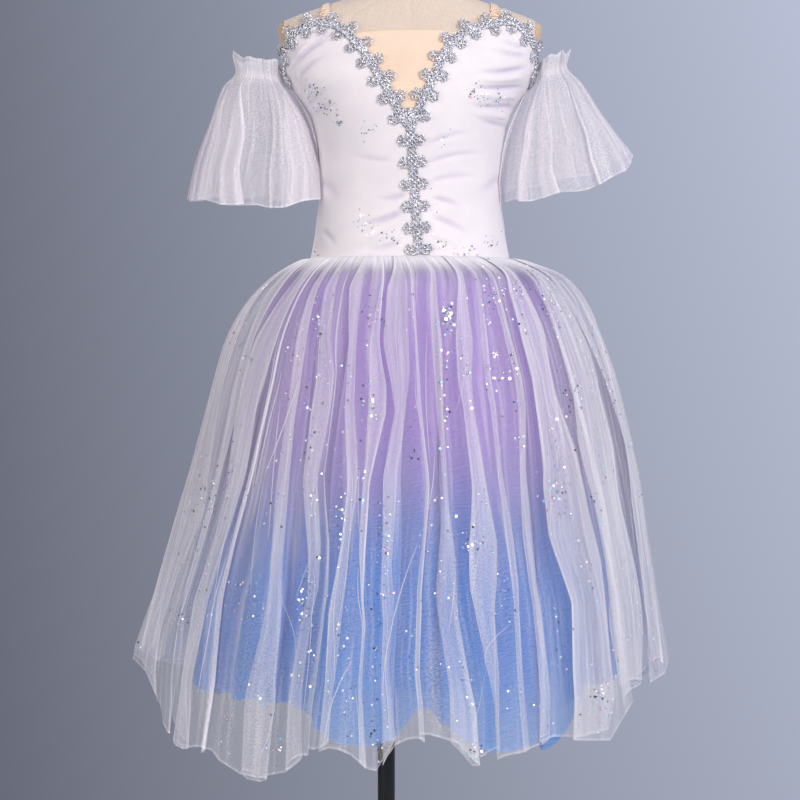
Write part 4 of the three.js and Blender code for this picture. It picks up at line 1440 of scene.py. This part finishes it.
def make_sleeve(name, rows, side, node, under_tree):
    """A gathered tube with a frill above its narrowest place, kept clear of what it hangs against."""
    shares = np.concatenate([np.linspace(0, 0.2, 16)[:-1], np.linspace(0.2, 0.985, 40), [0.993, 1]])
    count = SLEEVE_STRIPS
    draw = random.Random(40 + side)
    spans = ((-0.85, -0.4), (0.5, 1))
    levels = np.array([draw.uniform(*spans[n % 2]) for n in range(count)])
    levels[-1] = 0.3
    before = np.concatenate([levels[-1:], levels[:-1]])
    middles, widths = [], []
    for n in range(count):
        turn = (n + draw.uniform(-0.3, 0.3)) * 2 * np.pi / count
        middles.append(turn + kinked(700 + n * 3 + side, shares, 0.09, 6))
        wide = draw.choice((0.04, 0.1, 0.24, 0.4, 0.55))
        widths.append(wide * ramp(shares, 0.1, 0.6) + 0.02)
    middles, widths = np.array(middles), np.array(widths)
    wall = np.arange(count * PER_WALL) // PER_WALL
    light = np.tile(EDGE_LIGHT, count)
    phase = np.array([draw.random() for _ in range(count)])[wall]
    bright = np.array([draw.choice((0.3, 0.7, 1.2)) for _ in range(count)])[wall]
    points = np.empty((len(shares), len(wall), 3))
    cover = np.empty(points.shape[:2])
    for r, share in enumerate(shares):
        value = {key: float(along(rows, key, "down", share)) for key in rows if key != "down"}
        grow = float(ramp(share, 0.14, 0.4))
        frill = 1 - float(ramp(share, 0.02, 0.12))
        ways, turn = folded_row(middles[:, r], widths[:, r], 2 * np.pi)
        rise = (1 - np.cos(np.pi * ways)) / 2
        level = before[wall] + (levels - before)[wall] * rise
        gather = np.sin(2 * np.pi * (2 * ways + phase)) * np.sin(np.pi * ways)
        lobes = np.sin(7 * turn + 1.9 * side) + 0.7 * np.sin(11 * turn + 0.8) + 0.5 * np.sin(4 * turn)
        out = value["fold"] * level * (1 - 0.6 * frill) * (0.35 + 0.65 * grow)
        out = out + gather * (0.5 + 1.1 * float(ramp(share, 0.1, 0.24)) * (1 - 0.6 * grow))
        out = out + frill * (lobes * 1.3 + gather * 0.8)
        middle = np.array(((value["outX"] + value["inX"]) / 2, 0, (value["outZ"] + value["inZ"]) / 2))
        reach = np.array(((value["outX"] - value["inX"]) / 2, 0, (value["outZ"] - value["inZ"]) / 2))
        stretch = 1 + out / np.linalg.norm(reach)
        row = middle + reach * (np.cos(turn) * stretch)[:, None]
        row[:, 1] += np.sin(turn) * value["deep"] * stretch * side
        row[:, 2] -= value["sag"] * np.maximum(0, -np.sin(turn) * side)
        row[:, 2] += frill * 1.3 * (lobes + np.sin(3 * turn + 0.5))
        row[:, 2] += float(ramp(share, 0.7, 1)) * 2.2 * (np.sin(3 * turn + side) + np.sin(8 * turn + 2))
        start = Vector(middle)
        for c, place in enumerate(row):
            direction = Vector(place) - start
            length = direction.length
            direction.normalize()
            hit, _, _, free = under_tree.ray_cast(start, direction, length + SLEEVE_EASE)
            if hit is not None:
                row[c] = start + direction * max(free - SLEEVE_EASE, 1)
        points[r] = row
        band = math.exp(-(((share - ELASTIC_AT) / 0.04) ** 2))
        cover[r] = light * bright * 0.6 * grow + 0.25 * band + 0.22 * frill
    cover[-2:] += HEM_LIGHT
    cover[:2] += 0.15
    runs = np.broadcast_to(shares[:, None] * SLEEVE_LENGTH, cover.shape)
    made = new_object(name, cloth_mesh(name, points, runs, cover, shares), SLEEVE_NET)
    return finish_piece(made, "white_net", node)


# Sequins. The photo's clusters: the middle pixel, how far they spread, how many, and the widest.
SKIRT_CLUSTERS = table(
    "px py wide tall count size",
    (449, 318, 5, 16, 26, 4.2),
    (383, 238, 12, 8, 9, 2.2),
    (318, 330, 4, 34, 16, 3.6),
    (377, 315, 10, 14, 16, 2.6),
    (492, 300, 16, 26, 26, 3.2),
    (500, 372, 14, 30, 22, 3.4),
    (520, 292, 8, 18, 14, 3.0),
    (548, 290, 8, 22, 16, 3.0),
    (240, 350, 12, 34, 22, 2.6),
    (372, 405, 5, 24, 10, 3.6),
    (412, 430, 10, 40, 8, 2.4),
    (446, 420, 6, 34, 12, 3.0),
    (312, 470, 8, 50, 18, 2.8),
    (206, 496, 10, 24, 20, 2.6),
    (340, 520, 8, 40, 14, 2.8),
    (386, 540, 7, 40, 22, 2.8),
    (470, 545, 14, 20, 26, 2.8),
    (556, 500, 14, 34, 32, 3.4),
    (574, 386, 8, 30, 14, 2.8),
    (600, 480, 8, 40, 14, 2.6),
    (640, 470, 4, 26, 14, 3.0),
    (502, 590, 10, 30, 12, 2.8),
    (305, 600, 8, 26, 22, 3.2),
    (246, 600, 14, 24, 16, 2.6),
    (180, 620, 14, 12, 26, 2.4),
    (312, 655, 6, 20, 10, 4.0),
    (262, 690, 12, 22, 14, 3.0),
    (376, 640, 8, 60, 18, 2.8),
    (600, 690, 10, 18, 24, 3.0),
    (560, 640, 12, 40, 12, 2.4),
    (640, 600, 14, 40, 12, 2.4),
    (275, 748, 22, 10, 10, 2.6),
    (376, 742, 6, 16, 14, 2.6),
    (479, 748, 5, 12, 10, 2.4),
    (520, 700, 18, 24, 8, 2.2),
    (430, 620, 14, 60, 6, 1.8),
    (350, 700, 16, 30, 8, 2.2),
)
BODICE_CLUSTERS = table(
    "px py wide tall count size",
    (312, 92, 9, 8, 20, 2.4),
    (326, 108, 11, 8, 12, 2.8),
    (338, 126, 5, 5, 3, 4.2),
    (370, 128, 8, 8, 7, 2.0),
    (474, 90, 9, 8, 12, 2.6),
    (492, 98, 12, 10, 16, 3.0),
    (505, 112, 7, 8, 8, 2.4),
    (446, 140, 6, 10, 4, 2.0),
    (362, 222, 10, 8, 8, 2.2),
    (376, 232, 8, 9, 9, 2.8),
    (392, 238, 5, 7, 6, 2.4),
    (440, 244, 8, 6, 10, 2.6),
    (470, 252, 16, 6, 16, 2.2),
    (492, 240, 9, 10, 8, 2.0),
    (316, 252, 3, 8, 9, 1.8),
    (432, 210, 6, 20, 4, 1.6),
)


BIG_SEQUIN = 1.35  # radius from which a sequin has a raised middle
SEQUIN_THICK = 0.12
SEQUIN_LIFT = 0.5  # from the cloth to the sequin


def disc(heap, centre, normal, radius, draw):
    """One sequin: a thin, slightly tilted plate with eight sides. A big one has a raised middle."""
    tilt = Vector((draw.gauss(0, 0.16), draw.gauss(0, 0.16), draw.gauss(0, 0.16)))
    up = (normal + tilt).normalized()
    side = up.orthogonal().normalized()
    over = up.cross(side)
    plates = [(0.0, radius, draw.random())]
    if radius > BIG_SEQUIN:
        plates.append((SEQUIN_THICK, radius * 0.62, draw.uniform(0, 0.3)))
    for foot, wide, tint in plates:
        rim = []
        for height in (foot, foot + SEQUIN_THICK):
            for k in range(8):
                a = math.pi * (k + 0.5) / 4
                rim.append(centre + up * height + (side * math.cos(a) + over * math.sin(a)) * wide)
        faces = [list(range(8))[::-1], list(range(8, 16))]
        faces += [[k, (k + 1) % 8, 8 + (k + 1) % 8, 8 + k] for k in range(8)]
        heap.add([tuple(p) for p in rim], faces, tint)


def sequins(clusters, tree, seed, many, smallest):
    """Sequins where the lines of sight through the photo's clusters meet the cloth."""
    draw = random.Random(seed)
    heap = Heap()
    for px, py, wide, tall, count, size in zip(*clusters.values()):
        for _ in range(int(count * many)):
            start, direction = photo_ray(draw.gauss(px, wide * 0.6), draw.gauss(py, tall * 0.6))
            hit, normal, _, _ = tree.ray_cast(start, direction)
            if hit is None or hit.y > 60:
                continue
            if normal.dot(direction) > 0:
                normal = -normal
            radius = max(smallest, size * 0.52 * draw.uniform(0.3, 1) ** 1.5)
            disc(heap, hit + normal * SEQUIN_LIFT, normal, radius, draw)
    return heap


DRIFT_LOW, DRIFT_HIGH = 280, 770  # heights of the drifts' middles
RAY_FROM = 700  # outside the skirt


def scattered(heap, tree, seed, count, most):
    """Drifts of sequins on the rest of the skirt, most of them upright, as in the photo's."""
    draw = random.Random(seed)
    for _ in range(count):
        angle = draw.uniform(0, 360)
        z = draw.uniform(DRIFT_LOW, DRIFT_HIGH)
        wide = draw.uniform(0.5, 4)
        for _ in range(draw.randint(3, most)):
            a = math.radians(angle + draw.gauss(0, wide))
            height = z + draw.gauss(0, 28)
            start = Vector((RAY_FROM * math.sin(a), -RAY_FROM * math.cos(a), height))
            direction = Vector((-math.sin(a), math.cos(a), 0))
            hit, normal, _, _ = tree.ray_cast(start, direction)
            if hit is None:
                continue
            if normal.dot(direction) > 0:
                normal = -normal
            disc(heap, hit + normal * SEQUIN_LIFT, normal, 0.45 + 1.2 * draw.random() ** 2.5, draw)
    return heap


# The pieces.
torso = make_torso()
make_plate_seams()
make_stand()
bodice_front = bodice_panel("bodice_front_knit", 0, front_top, "bodice_front", 0.8)
bodice_back = bodice_panel("bodice_back_knit", 180, back_top, "bodice_back", 1.5)
insert = make_insert()
form_tree = tree_of(torso)
for strap_side in (-1, 1):
    make_strap(strap_side, form_tree)
trim_left = make_trim("trim_lace_left", arm_path(-1), "trim_left", 2.6, 11)
trim_right = make_trim("trim_lace_right", arm_path(1), "trim_right", -2.6, 12)
make_trim("trim_lace_centre", centre_path(), "trim_centre", 0.0, 13, first=0.68)
worn = tree_of(torso, bodice_front, bodice_back, trim_left, trim_right)
sleeve_left = make_sleeve("sleeve_net_left", LEFT_SLEEVE, -1, "sleeve_left", worn)
sleeve_right = make_sleeve("sleeve_net_right", RIGHT_SLEEVE, 1, "sleeve_right", worn)
skirt_ombre = make_ombre_skirt()
skirt_glitter, skirt_grid = make_glitter_skirt()
skirt_creases = make_creases("creases_skirt", skirt_grid, WHITE_NET, 61, 190, 0.26)
skirt_tree = tree_of(skirt_glitter)
skirt_heap = sequins(SKIRT_CLUSTERS, skirt_tree, 21, 1.7, 0.5)
skirt_heap = scattered(skirt_heap, skirt_tree, 22, 190, 20)
skirt_sequins = finish_piece(skirt_heap.object("sequins_skirt", FOIL, smooth=False), "white_net")
bodice_heap = sequins(BODICE_CLUSTERS, tree_of(bodice_front), 23, 1.8, 0.6)
bodice_sequins = finish_piece(bodice_heap.object("sequins_bodice", FOIL, smooth=False), "white_net")


# Floor, light and camera.
FLOOR_R = 1150
WALL_SPAN = 0.15  # part of the view that the wall's shading spans


def add_floor():
    sides = 96
    ring = np.radians(np.arange(sides) * 360 / sides)
    points = [(FLOOR_R * math.cos(a), FLOOR_R * math.sin(a), -1.0) for a in ring]
    mesh = mesh_of("floor", points, [list(range(sides))])
    new_object("floor_disc", mesh, floor_finish())


def add_light(name, place, size, power_watts, tint="FFFFFF"):
    light = bpy.data.lights.new(name, "AREA")
    light.shape = "DISK"
    light.size = size
    light.energy = power_watts
    light.color = colour(tint)[:3]
    made = bpy.data.objects.new(name, light)
    made.location = place
    aim = Vector((0, 0, 0.65)) - made.location
    made.rotation_euler = aim.to_track_quat("-Z", "Y").to_euler()
    bpy.context.scene.collection.objects.link(made)


def add_world():
    """A plain grey-blue studio wall, lighter to the right and darker towards the floor."""
    world = bpy.data.worlds.new("studio")
    world.use_nodes = True
    tree = world.node_tree
    background = tree.nodes["Background"]
    place = tree.nodes.new("ShaderNodeTexCoord")
    parts = tree.nodes.new("ShaderNodeSeparateXYZ")
    tree.links.new(place.outputs["Generated"], parts.inputs[0])
    across = tree.nodes.new("ShaderNodeMapRange")
    tree.links.new(parts.outputs["X"], across.inputs["Value"])
    wall = tree.nodes.new("ShaderNodeValToRGB")
    wall.color_ramp.elements[0].color = colour("717584")
    wall.color_ramp.elements[1].color = colour("B9BFD4")
    tree.links.new(across.outputs[0], wall.inputs[0])
    tree.links.new(wall.outputs[0], background.inputs[0])
    upward = tree.nodes.new("ShaderNodeMapRange")
    for span in (across, upward):
        span.inputs["From Min"].default_value = -WALL_SPAN
        span.inputs["From Max"].default_value = WALL_SPAN
    upward.inputs["To Min"].default_value = 0.8
    upward.inputs["To Max"].default_value = 1.02
    tree.links.new(parts.outputs["Z"], upward.inputs["Value"])
    tree.links.new(upward.outputs[0], background.inputs["Strength"])
    bpy.context.scene.world = world


add_floor()
add_world()
add_light("key", (1.5, -2.7, 2.1), 1.8, 68, "FFF8F0")
add_light("fill", (-2.2, -2.3, 1.3), 2.0, 36, "FFF8F0")
add_light("back", (-0.9, 2.3, 1.9), 1.6, 30, "FFF8F0")

lens_angle = 2 * math.atan(HALF_FRAME * PIXEL / CAMERA_FAR)
camera = bpy.data.objects.new("camera", bpy.data.cameras.new("camera"))
camera.data.angle = lens_angle
camera.location = (LOOK_X * MM, -CAMERA_FAR * MM, LOOK_Z * MM)
camera.rotation_euler = (math.pi / 2, 0, 0)
bpy.context.scene.collection.objects.link(camera)
bpy.context.scene.camera = camera
bpy.context.scene.view_settings.view_transform = "Standard"
bpy.context.scene.cycles.transparent_max_bounces = 28
